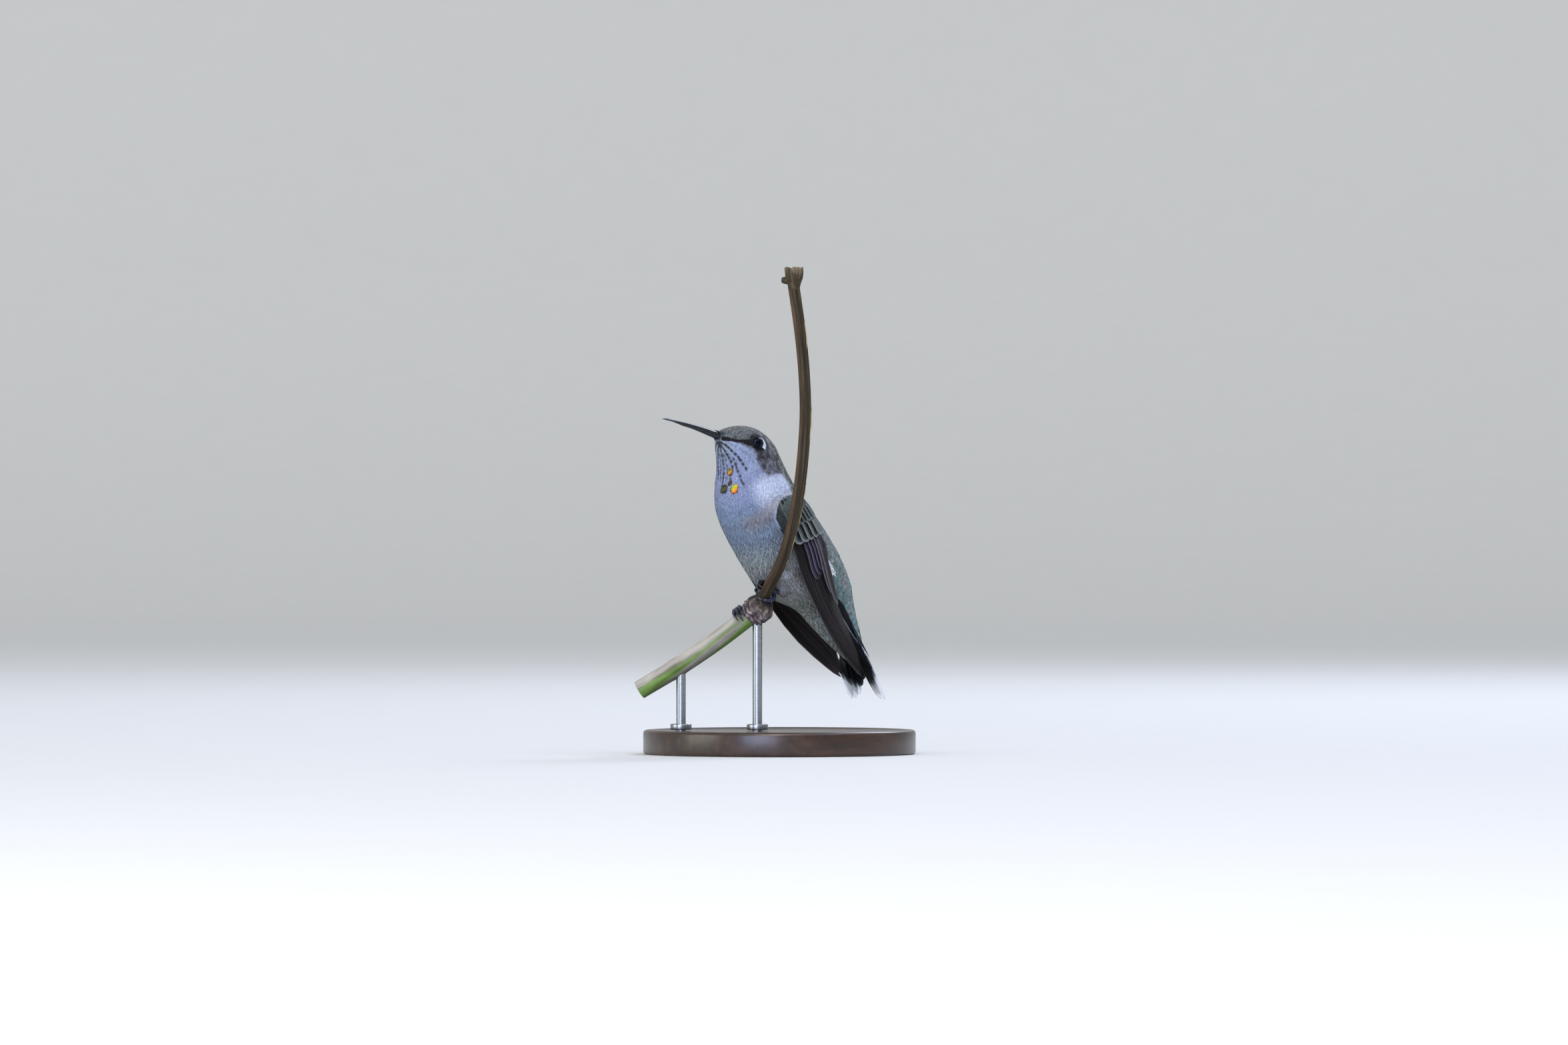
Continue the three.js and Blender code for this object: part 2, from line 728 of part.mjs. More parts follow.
const finish = (colour, roughness = 0.7, metalness = 0) =>
  new THREE.MeshStandardMaterial({ color: colour, roughness, metalness });

const model = new THREE.Group();
const birdAndPerch = new THREE.Group();
birdAndPerch.position.copy(BIRD_OFFSET);
model.add(birdAndPerch);

function addTo(group, name, solid, material) {
  const mesh = new THREE.Mesh(geometryOf(largest(solid)), material);
  mesh.name = name;
  group.add(mesh);
}

const clearBody = bodyLength(0, BODY_LENGTHS.rump, GAP);
const clearBill = billSolid(GAP);
const tail = smoothed(tailSolid());

const clearEyes = [1, -1].map((side) => {
  const centre = EYE.centre.clone().multiply(new THREE.Vector3(1, side, 1));
  return ball(centre, EYE.radius + GAP, 14);
});
const bothLids = lids().add(mirrored(lids()));
let from = 0;
for (const [name, to] of Object.entries(BODY_LENGTHS)) {
  let solid = bodyLength(from, name === "rump" ? to : to - gapBefore(to));
  if (name === "head") {
    solid = solid.add(bothLids).subtract(clearBill);
    for (const hole of clearEyes) solid = solid.subtract(hole);
  }
  if (name === "rump") solid = solid.subtract(tailSleeve());
  addTo(birdAndPerch, name, solid, finish(colours[name]));
  from = to;
}
addTo(birdAndPerch, "tail", tail, finish(colours.tail, 0.5));

const [upper, lower] = bothMandibles();
addTo(birdAndPerch, "bill_upper", upper.subtract(nostril(1)).subtract(nostril(-1)), finish(colours.bill, 0.35));
addTo(birdAndPerch, "bill_lower", lower, finish(colours.bill, 0.35));

for (const [name, side] of [["left", -1], ["right", 1]]) {
  const centre = EYE.centre.clone().multiply(new THREE.Vector3(1, side, 1));
  addTo(birdAndPerch, "eye_" + name, ball(centre, EYE.radius, 14), finish(colours.eye, 0.08));
}

const stemClear = stemPiece(STEM_CUTS[0], stemLength, 24, GAP);
const wing = smoothed(rightWing().subtract(clearBody));
addTo(birdAndPerch, "wing_right", wing, finish(colours.wing, 0.5));
addTo(birdAndPerch, "wing_left", mirrored(wing).subtract(stemClear), finish(colours.wing, 0.5));

// The vine, in lengths.
addTo(birdAndPerch, "perch_knot", knotSolid(), finish(colours.bark));
addTo(birdAndPerch, "perch_branch", branchSolid().subtract(knotSolid(GAP)), finish(colours.bark));
const lengths = ["lower", "middle", "upper"];
lengths.forEach((name, i) => {
  const from = STEM_CUTS[i] + (i === 0 ? 0 : GAP / 2);
  const to = STEM_CUTS[i + 1] - (i < 2 ? GAP / 2 : 0);
  let piece = stemPiece(from, to, 9);
  if (i === 0) piece = piece.subtract(knotSolid(GAP));
  if (i === 2) piece = piece.add(stemEnd());
  addTo(birdAndPerch, "perch_stem_" + name, piece, finish(colours.stem));
});

// Legs. Each foot is placed on its stretch of the vine, and its shank runs back to the belly.
const feet = [
  {
    name: "left",
    centre: stemCurve.getPointAt(4.5 / stemLength),
    axis: stemCurve.getTangentAt(4.5 / stemLength),
    perchRadius: VINE.stemRadius,
    hip: new THREE.Vector3(-3.9, -3.2, 34.0),
    slides: [-0.35, 0.55, 1.4],
    reach: 2.5,
    back: -2.3,
    backSlide: -1.0,
  },
  {
    name: "right",
    centre: branchCurve.getPointAt(3.3 / branchLength),
    axis: branchCurve.getTangentAt(3.3 / branchLength).negate(),
    perchRadius: VINE.branchRadius,
    hip: new THREE.Vector3(-3.9, 3.0, 34.0),
    slides: [-0.8, 0.05, 0.9],
    reach: 2.0,
    back: -1.2,
    backSlide: 0.5,
  },
];
const perch = [knotSolid(GAP), branchSolid(GAP), stemClear];
const thigh = (hip, clearance = 0) => ball(hip, [1.8 + clearance, 1.6 + clearance, 1.9 + clearance], 10);
for (const foot of feet) {
  const radius = foot.perchRadius + GAP + FEET.toeRadius;
  const inward = foot.hip.clone().sub(foot.centre);
  const wrap = wrapAround({ centre: foot.centre, axis: foot.axis, inward, radius });
  const toes = foot.slides.map((slide, i) => ({ from: slide * 0.35, to: slide, end: foot.reach - 0.2 * (i !== 1) }));
  toes.push({ from: foot.backSlide * 0.35, to: foot.backSlide, end: foot.back });
  const parts = toes.map(({ from, to, end }) => toe(wrap, 0, end, from, to));
  const ankle = wrap(0, 0, 0.1);
  const bend = ankle.clone().lerp(foot.hip, 0.55).add(new THREE.Vector3(0, 0, -0.3));
  const shank = curveThrough([ankle, bend, foot.hip]);
  parts.push(tube(shank, (share) => FEET.tarsusRadius * (1 + 0.25 * share), 4, 6));
  parts.push(ball(ankle, 0.72, 8));
  let solid = join(parts).subtract(thigh(foot.hip, GAP)).subtract(clearBody);
  for (const obstacle of perch) solid = solid.subtract(obstacle);
  addTo(birdAndPerch, "foot_" + foot.name, solid, finish(colours.foot, 0.4));
  addTo(birdAndPerch, "thigh_" + foot.name, thigh(foot.hip).subtract(clearBody), finish(colours.belly));
  toes.forEach(({ to, end }, i) => {
    const name = ["inner", "middle", "outer", "hind"][i];
    addTo(birdAndPerch, "claw_" + foot.name + "_" + name, claw(wrap, end, to, radius), finish(colours.claw, 0.3));
  });
}

// The stand: a flat round base and two rods up to the vine.
const profile = [
  [0, 0],
  [STAND.baseRadius, 0],
  [STAND.baseRadius, STAND.baseHeight - STAND.bevel],
  [STAND.baseRadius - STAND.bevel, STAND.baseHeight],
  [0, STAND.baseHeight],
].map(([r, z]) => new THREE.Vector2(r, z));
let base = solidOf(new THREE.LatheGeometry(profile, 40).rotateX(Math.PI / 2));
const rodFeet = [
  { name: "stand_rod_knot", top: knotCentre.clone(), under: VINE.knotRadius - 0.4 },
  { name: "stand_rod_branch", top: branchCurve.getPointAt(0.66), under: VINE.branchRadius - 0.2 },
];
for (const { name, top, under } of rodFeet) {
  const place = top.clone().add(BIRD_OFFSET);
  const bottom = STAND.baseHeight - STAND.rodFoot;
  const height = place.z - under - bottom;
  const rod = new THREE.CylinderGeometry(STAND.rodRadius, STAND.rodRadius, height, 16);
  rod.rotateX(Math.PI / 2).translate(place.x, place.y, bottom + height / 2);
  const collar = new THREE.CylinderGeometry(STAND.collarRadius, STAND.collarRadius, STAND.collarHeight, 20);
  collar.rotateX(Math.PI / 2).translate(place.x, place.y, STAND.baseHeight + GAP + STAND.collarHeight / 2);
  const hole = new THREE.CylinderGeometry(STAND.rodRadius + GAP, STAND.rodRadius + GAP, height, 16);
  hole.rotateX(Math.PI / 2).translate(place.x, place.y, bottom - GAP + height / 2);
  base = base.subtract(solidOf(hole));
  let solid = solidOf(rod).add(solidOf(collar));
  for (const obstacle of [knotSolid(GAP), branchSolid(GAP)]) {
    solid = solid.subtract(obstacle.translate(BIRD_OFFSET.toArray()));
  }
  addTo(model, name, solid, finish(colours.steel, 0.3, 1));
}
addTo(model, "stand_base", base, finish(colours.wood, 0.5));

export default model;
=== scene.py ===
"""A young male ruby-throated hummingbird, life size, gripping a dry vine on a round display stand.

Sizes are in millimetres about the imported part's own frame and turned to metres as each mesh is made.
The bird faces -X and its left side faces -Y."""

import math

import bpy
import numpy as np
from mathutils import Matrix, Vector


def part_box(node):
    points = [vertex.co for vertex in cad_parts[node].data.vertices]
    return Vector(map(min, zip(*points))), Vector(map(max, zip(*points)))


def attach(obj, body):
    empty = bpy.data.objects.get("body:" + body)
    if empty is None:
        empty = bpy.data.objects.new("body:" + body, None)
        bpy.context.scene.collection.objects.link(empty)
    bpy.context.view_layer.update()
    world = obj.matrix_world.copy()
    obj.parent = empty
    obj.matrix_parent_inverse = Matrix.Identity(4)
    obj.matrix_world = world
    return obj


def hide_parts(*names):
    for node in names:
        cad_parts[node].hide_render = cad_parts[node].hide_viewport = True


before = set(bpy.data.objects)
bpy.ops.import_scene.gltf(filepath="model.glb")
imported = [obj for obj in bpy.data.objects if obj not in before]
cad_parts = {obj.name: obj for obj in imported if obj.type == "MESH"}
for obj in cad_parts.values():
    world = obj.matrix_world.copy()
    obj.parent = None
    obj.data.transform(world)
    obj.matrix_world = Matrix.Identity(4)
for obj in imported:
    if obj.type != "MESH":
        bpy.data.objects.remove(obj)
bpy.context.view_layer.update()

bl_info = {
    "name": "Perched Hummingbird",
    "version": (1, 0, 0),
    "blender": (4, 5, 0),
    "location": "3D View > Sidebar > Hummingbird",
    "description": "Builds a perched hummingbird with its plumage, vine and display stand",
    "category": "Object",
}

MM = 0.001
CURVE_STEPS = 600  # how finely a curve is measured
OFFSET = np.array([2.0, 0.0, 0.0])  # the bird and its perch over the base's centre
TURN = math.tau
SIDES = (("left", -1), ("right", 1))  # the bird's sides, and the sign of Y there


def linear(code):
    """An sRGB hex colour as linear red, green and blue."""
    parts = [int(code[i : i + 2], 16) / 255 for i in (1, 3, 5)]
    return tuple(c / 12.92 if c <= 0.04045 else ((c + 0.055) / 1.055) ** 2.4 for c in parts)


# ---------------------------------------------------------------- settings


def colour(name, text, code):
    return bpy.props.FloatVectorProperty(
        name=name, description=text, subtype="COLOR", min=0, max=1, default=linear(code)
    )


def amount(name, text, value, least, most, **kind):
    return bpy.props.FloatProperty(name=name, description=text, default=value, min=least, max=most, **kind)


def millimetres(name, text, value, least, most):
    return amount(name, text, value * MM, least * MM, most * MM, subtype="DISTANCE", unit="LENGTH")


class PlumageSettings(bpy.types.PropertyGroup):
    density: amount("Density", "How close the small feathers stand", 1.3, 0.3, 2.0, subtype="FACTOR")
    seed: bpy.props.IntProperty(name="Seed", description="Which draw of places is used", default=7, min=0)
    lift: millimetres("Tip lift", "How far loose feather tips stand off the coat", 0.08, 0, 1)
    crown: colour("Crown", "Feather middles of forehead and crown", "#38443f")
    crown_edge: colour("Crown fringe", "Fringes of forehead and crown", "#9c9da2")
    ear: colour("Ear patch", "Dusky patch behind and below the eye", "#4b4a55")
    lore: colour("Lore", "Black line from the bill to the eye", "#07080b")
    # Throat, collar and breast carry a painted blue cast over their whitish own colour: the cool light of
    # open sky, painted in.
    throat: colour("Throat", "Throat and cheeks", "#969fc2")
    collar: colour("Collar", "White patch at the side of the neck", "#cfdcff")
    breast: colour("Breast", "Upper breast", "#8495b3")
    belly: colour("Belly", "Belly", "#979f9f")
    flank: colour("Flank", "Flanks under the wings", "#87868a")
    mantle: colour("Mantle", "Upper back", "#3c4843")
    rump: colour("Rump", "Rump and upper tail coverts", "#577b7b")
    vent: colour("Undertail", "Undertail coverts", "#a2a599")
    streak: colour("Throat streaks", "Dusky middles of the throat feathers", "#232930")


class HeadSettings(bpy.types.PropertyGroup):
    bill: colour("Bill", "Horn of the bill", "#15171c")
    eye: colour("Eye", "Pupil and the ball round the iris", "#050609")
    iris: colour("Iris", "Dark brown iris", "#0a0808")
    lid: colour("Lid", "Bare rim round the eye", "#08090c")
    # The foot's blue is a painted reflection of open sky over skin that is near black.
    foot: colour("Foot", "Skin of the toes", "#171a30")
    claw: colour("Claw", "Horn of the claws", "#0d0e13")


class VineSettings(bpy.types.PropertyGroup):
    stem_radius: millimetres("Stem radius", "Radius of the upright stem", 1.25, 0.5, 3)
    branch_radius: millimetres("Branch radius", "Radius of the slanting branch", 2.0, 0.5, 4)
    stem: colour("Stem bark", "Bark of the upright stem", "#43392a")
    branch: colour("Branch bark", "Bark of the slanting branch", "#a9a39a")
    algae: colour("Algae", "Green film under the branch", "#5d7d33")
    knot: colour("Knot bark", "Bark of the knot", "#5e5456")


class StandSettings(bpy.types.PropertyGroup):
    base_radius: millimetres("Base radius", "Radius of the round base", 28, 20, 60)
    base_height: millimetres("Base height", "Height of the round base", 5, 2, 20)
    wood: colour("Wood", "Dark stain of the base", "#3a2618")
    steel: colour("Steel", "Colour of the rods", "#a9acb0")


class StageSettings(bpy.types.PropertyGroup):
    floor: colour("Floor", "Plain pale floor", "#dcdcd9")
    sky: colour("Sky", "Soft light from all round", "#e6ebf5")
    sky_strength: amount("Sky strength", "Strength of the light from all round", 0.62, 0, 5)
    key_power: amount("Key power", "Power that the lamps share", 11.0, 0, 500, subtype="POWER", unit="POWER")
    fill: amount("Fill", "Strength of the wide, even light", 0.9, 0, 10)
    distance: amount(
        "Camera distance", "From the vine to the camera", 2.0, 0.5, 10, subtype="DISTANCE", unit="LENGTH"
    )


# ---------------------------------------------------------------- curves and the body's form


def curve(points):
    """The centripetal Catmull-Rom curve through points, as a function of the share of its stations."""
    p = np.asarray(points, float)
    n = len(p)
    held = np.vstack([2 * p[0] - p[1], p, 2 * p[-1] - p[-2]])

    def at(share):
        place = np.clip(np.asarray(share, float), 0, 1) * (n - 1)
        i = np.minimum(place.astype(int), n - 2)
        w = (place - i)[..., None]
        a, b, c, d = (held[i + k] for k in range(4))

        def span(q, r):
            return np.maximum(((q - r) ** 2).sum(-1, keepdims=True) ** 0.25, 1e-4)

        d0, d1, d2 = span(a, b), span(b, c), span(c, d)
        t1 = ((b - a) / d0 - (c - a) / (d0 + d1) + (c - b) / d1) * d1
        t2 = ((c - b) / d1 - (d - b) / (d1 + d2) + (d - c) / d2) * d1
        return b + w * t1 + w**2 * (3 * (c - b) - 2 * t1 - t2) + w**3 * (2 * (b - c) + t1 + t2)

    return at


def run_along(points):
    """How far along a line of points each of them lies."""
    return np.r_[0, np.cumsum(np.linalg.norm(np.diff(points, axis=0), axis=1))]


def even(path, count, first, last):
    """Points at even distances along a curve, from one share of its length to another."""
    shares = np.linspace(0, 1, CURVE_STEPS)
    run = run_along(path(shares))
    return path(np.interp(np.linspace(first, last, count) * run[-1], run, shares))


def length_of(path):
    return run_along(path(np.linspace(0, 1, CURVE_STEPS)))[-1]


def circle(count):
    """Turns in even steps once round."""
    return np.arange(count) * TURN / count


def unit(v):
    return v / np.maximum(np.linalg.norm(v, axis=-1, keepdims=True), 1e-9)


def smooth(value, low, high):
    """0 below low, 1 above high and smooth between; the other way round where low is above high."""
    t = np.clip((np.asarray(value, float) - low) / (high - low), 0, 1)
    return t * t * (3 - 2 * t)


def span(value, start, full, ease, end):
    """1 from full to ease, and 0 before start and after end."""
    return smooth(value, start, full) * smooth(value, end, ease)


def bell(value, middle, width):
    return np.exp(-(((value - middle) / width) ** 2))


def alternate(count, first, second):
    """Two values that take turns."""
    return np.where(np.arange(count) % 2 == 0, first, second)


def angle_from(directions, way):
    return np.arccos(np.clip(directions @ way, -1, 1))


def one_sided(points):
    """Points with those of the left side mirrored to the right, so that both sides come out alike."""
    return points * np.array([1, 0, 1]) + np.abs(points[..., 1:2]) * np.array([0, 1, 0])


# Measures of the body from the bill to the tail: the back's profile, the belly's profile, the half
# width, and how far up from the belly the widest place lies.
BODY = np.array(
    [
        [-18.9, 66.1, -18.8, 64.3, 1.05, 0.5],  # bill base
        [-17.0, 66.75, -18.3, 62.9, 2.35, 0.55],  # forehead
        [-14.9, 67.25, -17.7, 60.9, 3.6, 0.56],  # lores
        [-12.1, 67.4, -17.3, 58.6, 4.6, 0.56],  # eyes
        [-8.7, 66.6, -17.5, 56.4, 5.15, 0.54],  # crown
        [-5.1, 64.1, -18.0, 54.2, 5.6, 0.5],  # nape
        [-2.9, 60.5, -18.0, 52.0, 6.2, 0.48],  # neck
        [-0.5, 56.3, -17.3, 49.4, 7.3, 0.5],  # mantle
        [3.3, 51.6, -15.4, 46.0, 8.2, 0.5],  # shoulders
        [8.1, 46.4, -12.3, 41.6, 8.5, 0.48],  # back
        [12.8, 40.7, -8.7, 36.9, 8.0, 0.46],  # lower back
        [16.2, 35.2, -4.2, 32.6, 6.6, 0.46],  # rump
        [17.9, 30.4, 3.4, 29.4, 3.9, 0.5],  # vent
        [19.4, 26.0, 7.1, 26.2, 2.7, 0.5],  # tail coverts
        [20.4, 22.6, 12.0, 22.4, 2.1, 0.5],  # long coverts
        [20.7, 20.2, 15.9, 19.7, 1.4, 0.5],  # covert tips
    ]
)
LAST = len(BODY) - 1
back_line = curve(BODY[:, :2])
belly_line = curve(BODY[:, 2:4])
half_line = curve(np.c_[np.arange(LAST + 1), BODY[:, 4:]])


def body_point(station, turn, out=0.0):
    """Points of the body's surface. The turn is 0 along the back and half a circle along the belly."""
    station, turn, out = np.broadcast_arrays(np.asarray(station, float), turn, out)
    held = np.clip(station, 0, LAST)
    share = held / LAST
    back, belly, size = back_line(share), belly_line(share), half_line(share)
    up = back - belly
    depth = np.linalg.norm(up, axis=-1)
    up = up / depth[..., None]
    rise = np.cos(turn)
    above = np.where(rise > 0, 1 - size[..., 2], size[..., 2]) * depth + out
    centre = belly + up * (depth * size[..., 2])[..., None]
    flat = centre + up * (rise * above)[..., None]
    point = np.stack([flat[..., 0], np.sin(turn) * (size[..., 1] + out), flat[..., 1]], -1)
    beyond = station - held
    if np.any(beyond):
        before = body_point(held - 0.1 * np.sign(beyond), turn, out)
        point = point + (point - before) * (np.abs(beyond) * 10)[..., None]
    return point


def body_frame(station, turn):
    """How the surface runs with the station and with the turn, and its outward normal."""
    step = 0.02
    along = (body_point(station + step, turn) - body_point(station - step, turn)) / (2 * step)
    round_ = (body_point(station, turn + step) - body_point(station, turn - step)) / (2 * step)
    return along, round_, unit(np.cross(along, round_))


# ---------------------------------------------------------------- meshes


def alone():
    """Leaves nothing selected, so that an operator acts on its own piece."""
    if bpy.context.object and bpy.context.object.mode != "OBJECT":
        bpy.ops.object.mode_set(mode="OBJECT")
    bpy.ops.object.select_all(action="DESELECT")


def named(name):
    piece = bpy.context.object
    piece.name = piece.data.name = name
    return piece


def joined(pieces, name):
    """Joins pieces into the first of them."""
    alone()
    for piece in pieces:
        piece.select_set(True)
    bpy.context.view_layer.objects.active = pieces[0]
    bpy.ops.object.join()
    return named(name)


def finish_piece(piece, material, nodes=()):
    """Gives a piece its material, its body and the CAD nodes that it stands for."""
    piece.data.materials.clear()
    piece.data.materials.append(material)
    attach(piece, "root")
    if nodes:
        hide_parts(*nodes)


def set_colours(piece, values):
    attribute = piece.data.color_attributes.new(name="tint", type="FLOAT_COLOR", domain="POINT")
    full = np.ones((len(piece.data.vertices), 4), np.float32)
    full[:, :3] = np.asarray(values).reshape(-1, 3)
    attribute.data.foreach_set("color", full.ravel())


def set_map(piece, name, corner_uv):
    layer = piece.data.uv_layers.get(name) or piece.data.uv_layers.new(name=name)
    layer.data.foreach_set("uv", np.asarray(corner_uv, np.float32).ravel())


def lofted(name, rings, tint=None, close=True):
    """A tube through rings of points, from a grid whose long edges are brought together and whose ends are
    filled. Its UVMap runs round the tube in u and along it in v."""
    rings = np.asarray(rings, float)
    rows, sides = rings.shape[:2]
    alone()
    bpy.ops.mesh.primitive_grid_add(x_subdivisions=sides, y_subdivisions=rows - 1, size=2)
    piece = named(name)
    closed = np.concatenate([rings, rings[:, :1]], axis=1)
    piece.data.vertices.foreach_set("co", closed.ravel())
    if tint is not None:
        set_colours(piece, np.concatenate([tint, tint[:, :1]], axis=1))
    piece.data.update()
    bpy.ops.object.mode_set(mode="EDIT")
    bpy.ops.mesh.select_all(action="SELECT")
    bpy.ops.mesh.remove_doubles(threshold=1e-7)
    if close:
        bpy.ops.mesh.select_all(action="DESELECT")
        bpy.ops.mesh.select_non_manifold()
        bpy.ops.mesh.fill_holes(sides=0)
        bpy.ops.mesh.select_all(action="SELECT")
    bpy.ops.mesh.normals_make_consistent(inside=False)
    bpy.ops.object.mode_set(mode="OBJECT")
    bpy.ops.object.shade_smooth_by_angle(angle=math.radians(50))
    return piece


def sweep_frames(points):
    """Two steady directions across a line of points, carried along it without twist."""
    along = unit(np.gradient(points, axis=0))
    first = np.cross(along[0], [0, 0, 1.0])
    if np.linalg.norm(first) < 0.1:
        first = np.cross(along[0], [1.0, 0, 0])
    sides = [unit(first)]
    for t in along[1:]:
        held = sides[-1] - t * (sides[-1] @ t)
        sides.append(unit(held))
    side = np.array(sides)
    return side, np.cross(along, side)


def tube_rings(points, radius, sides, rough=None):
    """Rings round a line of points, in metres. rough(turn, run) adds to the radius."""
    points = np.asarray(points, float)
    side, other = sweep_frames(points)
    turn = circle(sides)
    r = np.broadcast_to(np.asarray(radius, float).reshape(-1, 1), (len(points), sides))
    if rough is not None:
        r = r + rough(turn[None, :], run_along(points)[:, None])
    ring = side[:, None] * (np.cos(turn) * r)[..., None] + other[:, None] * (np.sin(turn) * r)[..., None]
    return (points[:, None] + ring + OFFSET) * MM


def rippled(seed, scale_turn, scale_run, count=9):
    """A smooth random surface over a tube, between about -1 and 1, that closes round it."""
    rng = np.random.default_rng(seed)
    waves = rng.integers(1, scale_turn + 1, count)
    runs = rng.uniform(0.2, 1, count) * TURN / scale_run
    phase = rng.uniform(0, TURN, count)
    size = rng.uniform(0.4, 1, count)
    size /= size.sum()

    def at(turn, run):
        total = 0
        for w, k, p, s in zip(waves, runs, phase, size):
            total = total + s * np.sin(w * turn + k * run + p)
        return total * 1.6

    return at


def blotches(points, seed, size, count=14):
    """A smooth random pattern in space, mostly between -1 and 1, of patches about size millimetres across."""
    rng = np.random.default_rng(seed)
    ways = unit(rng.normal(size=(count, 3))) * (math.pi / size) * rng.uniform(0.6, 1.4, (count, 1))
    return np.sin(points @ ways.T + rng.uniform(0, TURN, count)).sum(-1) * (1.1 / math.sqrt(count))


# ---------------------------------------------------------------- feathers


def vane_faces(rows, columns, full):
    """Faces of one feather: its domed upper side, its under side and its two ends. The upper side is smooth,
    and so is a full under side, which has points of its own between the edges for the vane's colours."""
    last = columns - 1

    def under(i, j):
        return i * columns + j if j in (0, last) else rows * columns + i * (columns - 2) + j - 1

    faces = []
    for i in range(rows - 1):
        for j in range(last):
            a = i * columns + j
            faces.append((a, a + 1, a + columns + 1, a + columns))
    smooth_count = len(faces)
    steps = range(last) if full else [0]
    for i in range(rows - 1):
        for j in steps:
            k = j + 1 if full else last
            faces.append((under(i, j), under(i + 1, j), under(i + 1, k), under(i, k)))
    inner = range(1, last) if full else []
    end = rows - 1
    faces.append((*range(last, -1, -1), *(under(0, j) for j in inner)))
    faces.append((*(end * columns + j for j in range(columns)), *(under(end, j) for j in reversed(inner))))
    return faces, [k < smooth_count or (full and k < len(faces) - 2) for k in range(len(faces))]


def feathers(name, centre, up, half, dome, columns, tint, patch, stagger=0.0, full=False, below=1.0):
    """Many feathers as one mesh. centre and up are (feather, row, xyz) in millimetres, half and dome are
    (feather, row), columns the places across from -1 to 1, tint (feather, row, column, rgb), and patch the
    middle of each feather's patch on the unwrapped skin, with its size. stagger (feather, column) moves the
    last row along. full gives each feather an underside in its own colours, made paler below times."""
    count, rows = centre.shape[:2]
    wide = len(columns)
    along = unit(np.gradient(centre, axis=1))
    side = unit(np.cross(along, up))
    c = np.asarray(columns, float)
    flat = centre[:, :, None] + side[:, :, None] * (half[..., None] * c)[..., None]
    if not np.isscalar(stagger):
        flat[:, -1] += along[:, -1][:, None] * stagger[..., None]
        flat[:, -2] += along[:, -2][:, None] * stagger[..., None] * 0.35
    arch = up[:, :, None] * (dome[..., None] * (1 - c**2))[..., None]
    points = (flat + arch).reshape(count, -1, 3)
    local = np.stack([np.tile((c + 1) / 2, rows), np.repeat(np.linspace(0, 1, rows), wide)], -1)
    tint = np.broadcast_to(tint, (count, rows, wide, 3)).reshape(count, -1, 3)
    if full:
        inner = np.arange(rows * wide).reshape(rows, wide)[:, 1:-1].ravel()
        low = (flat - arch * 0.25).reshape(count, -1, 3)
        points = np.concatenate([points, low[:, inner]], 1)
        tint = np.concatenate([tint, tint[:, inner] * below], 1)
        local = np.concatenate([local, local[inner]])
    faces, rounded = vane_faces(rows, wide, full)
    sizes = np.array([len(f) for f in faces])
    corners = np.concatenate([np.array(f) for f in faces])
    per = points.shape[1]
    loops = (corners[None] + np.arange(count)[:, None] * per).ravel()
    starts = (np.r_[0, np.cumsum(sizes)[:-1]][None] + np.arange(count)[:, None] * len(corners)).ravel()
    mesh = bpy.data.meshes.new(name)
    mesh.vertices.add(count * per)
    mesh.vertices.foreach_set("co", ((points + OFFSET) * MM).astype(np.float32).ravel())
    mesh.loops.add(len(loops))
    mesh.loops.foreach_set("vertex_index", loops.astype(np.int32))
    mesh.polygons.add(count * len(faces))
    mesh.polygons.foreach_set("loop_start", starts.astype(np.int32))
    mesh.polygons.foreach_set("use_smooth", np.tile(rounded, count))
    mesh.update(calc_edges=True)
    piece = bpy.data.objects.new(name, mesh)
    bpy.context.scene.collection.objects.link(piece)
    set_colours(piece, tint)
    set_map(piece, "UVMap", np.tile(local[corners], (count, 1)))
    middle, size = patch
    spread = middle[:, None] + (local[corners] - 0.5)[None] * np.asarray(size)
    set_map(piece, "OFBake", spread)
    return piece


MARGIN = 0.02  # left free round the skin's unwrap
PATCH = 0.003  # the size of a small feather's patch there


def unwrapped(station, turn):
    """A root's place on the skin's unwrap, which runs round the body in u and along it in v."""
    place = np.stack([np.mod(turn / TURN + 0.5, 1), np.clip(station / LAST, 0, 1)], -1)
    return MARGIN + (1 - 2 * MARGIN) * place


def near_path(points, path):
    """How far each point lies from a line of a few points."""
    path = np.asarray(path, float)
    best = np.full(points.shape[:-1], 1e9)
    for a, b in zip(path[:-1], path[1:]):
        run = b - a
        t = np.clip(((points - a) @ run) / (run @ run), 0, 1)
        best = np.minimum(best, np.linalg.norm(points - a - t[..., None] * run, axis=-1))
    return best


EYE = {
    "centre": np.array([-12.0, 3.85, 63.75]),
    "radius": 1.5,
    "lid": 1.2,
    "outward": unit(np.array([-0.22, 1, 0.1])),
}
# The black line before the eye, in x and z.
LORE = [[-18.7, 64.72], [-17.9, 64.66], [-16.2, 64.22], [-14.7, 63.95], [-13.0, 63.9]]
# Where the pale underparts begin, by station: the turn in degrees from the back.
EDGE_STATIONS = [0, 1, 2.15, 3.05, 3.6, 4.33, 5.23, 5.8, 6.05, 6.3, 6.7, 7.2, 7.6, 8.2, 9, 10, 11, 12, 15]
EDGE_TURNS = [100, 103, 100, 97, 93, 97, 93, 86, 70, 58, 56, 62, 78, 84, 82, 80, 86, 90, 90]


def degrees_from_back(turn):
    return np.degrees(np.abs(np.mod(turn + math.pi, TURN) - math.pi))


def is_upper(station, turn):
    """1 on the dark upper side and 0 on the pale underparts."""
    past = degrees_from_back(turn) - np.interp(station, EDGE_STATIONS, EDGE_TURNS)
    return smooth(past, 4.0, -4.0)


def mix(base, over, mask):
    """Lays a colour over others as far as the mask says."""
    over = np.array(linear(over) if isinstance(over, str) else over)
    return base + (over - base) * np.asarray(mask)[..., None]


def by_station(station, stations, codes):
    """Colours that change along the body."""
    rows = np.array([linear(c) if isinstance(c, str) else tuple(c) for c in codes])
    return np.stack([np.interp(station, stations, rows[:, i]) for i in range(3)], -1)


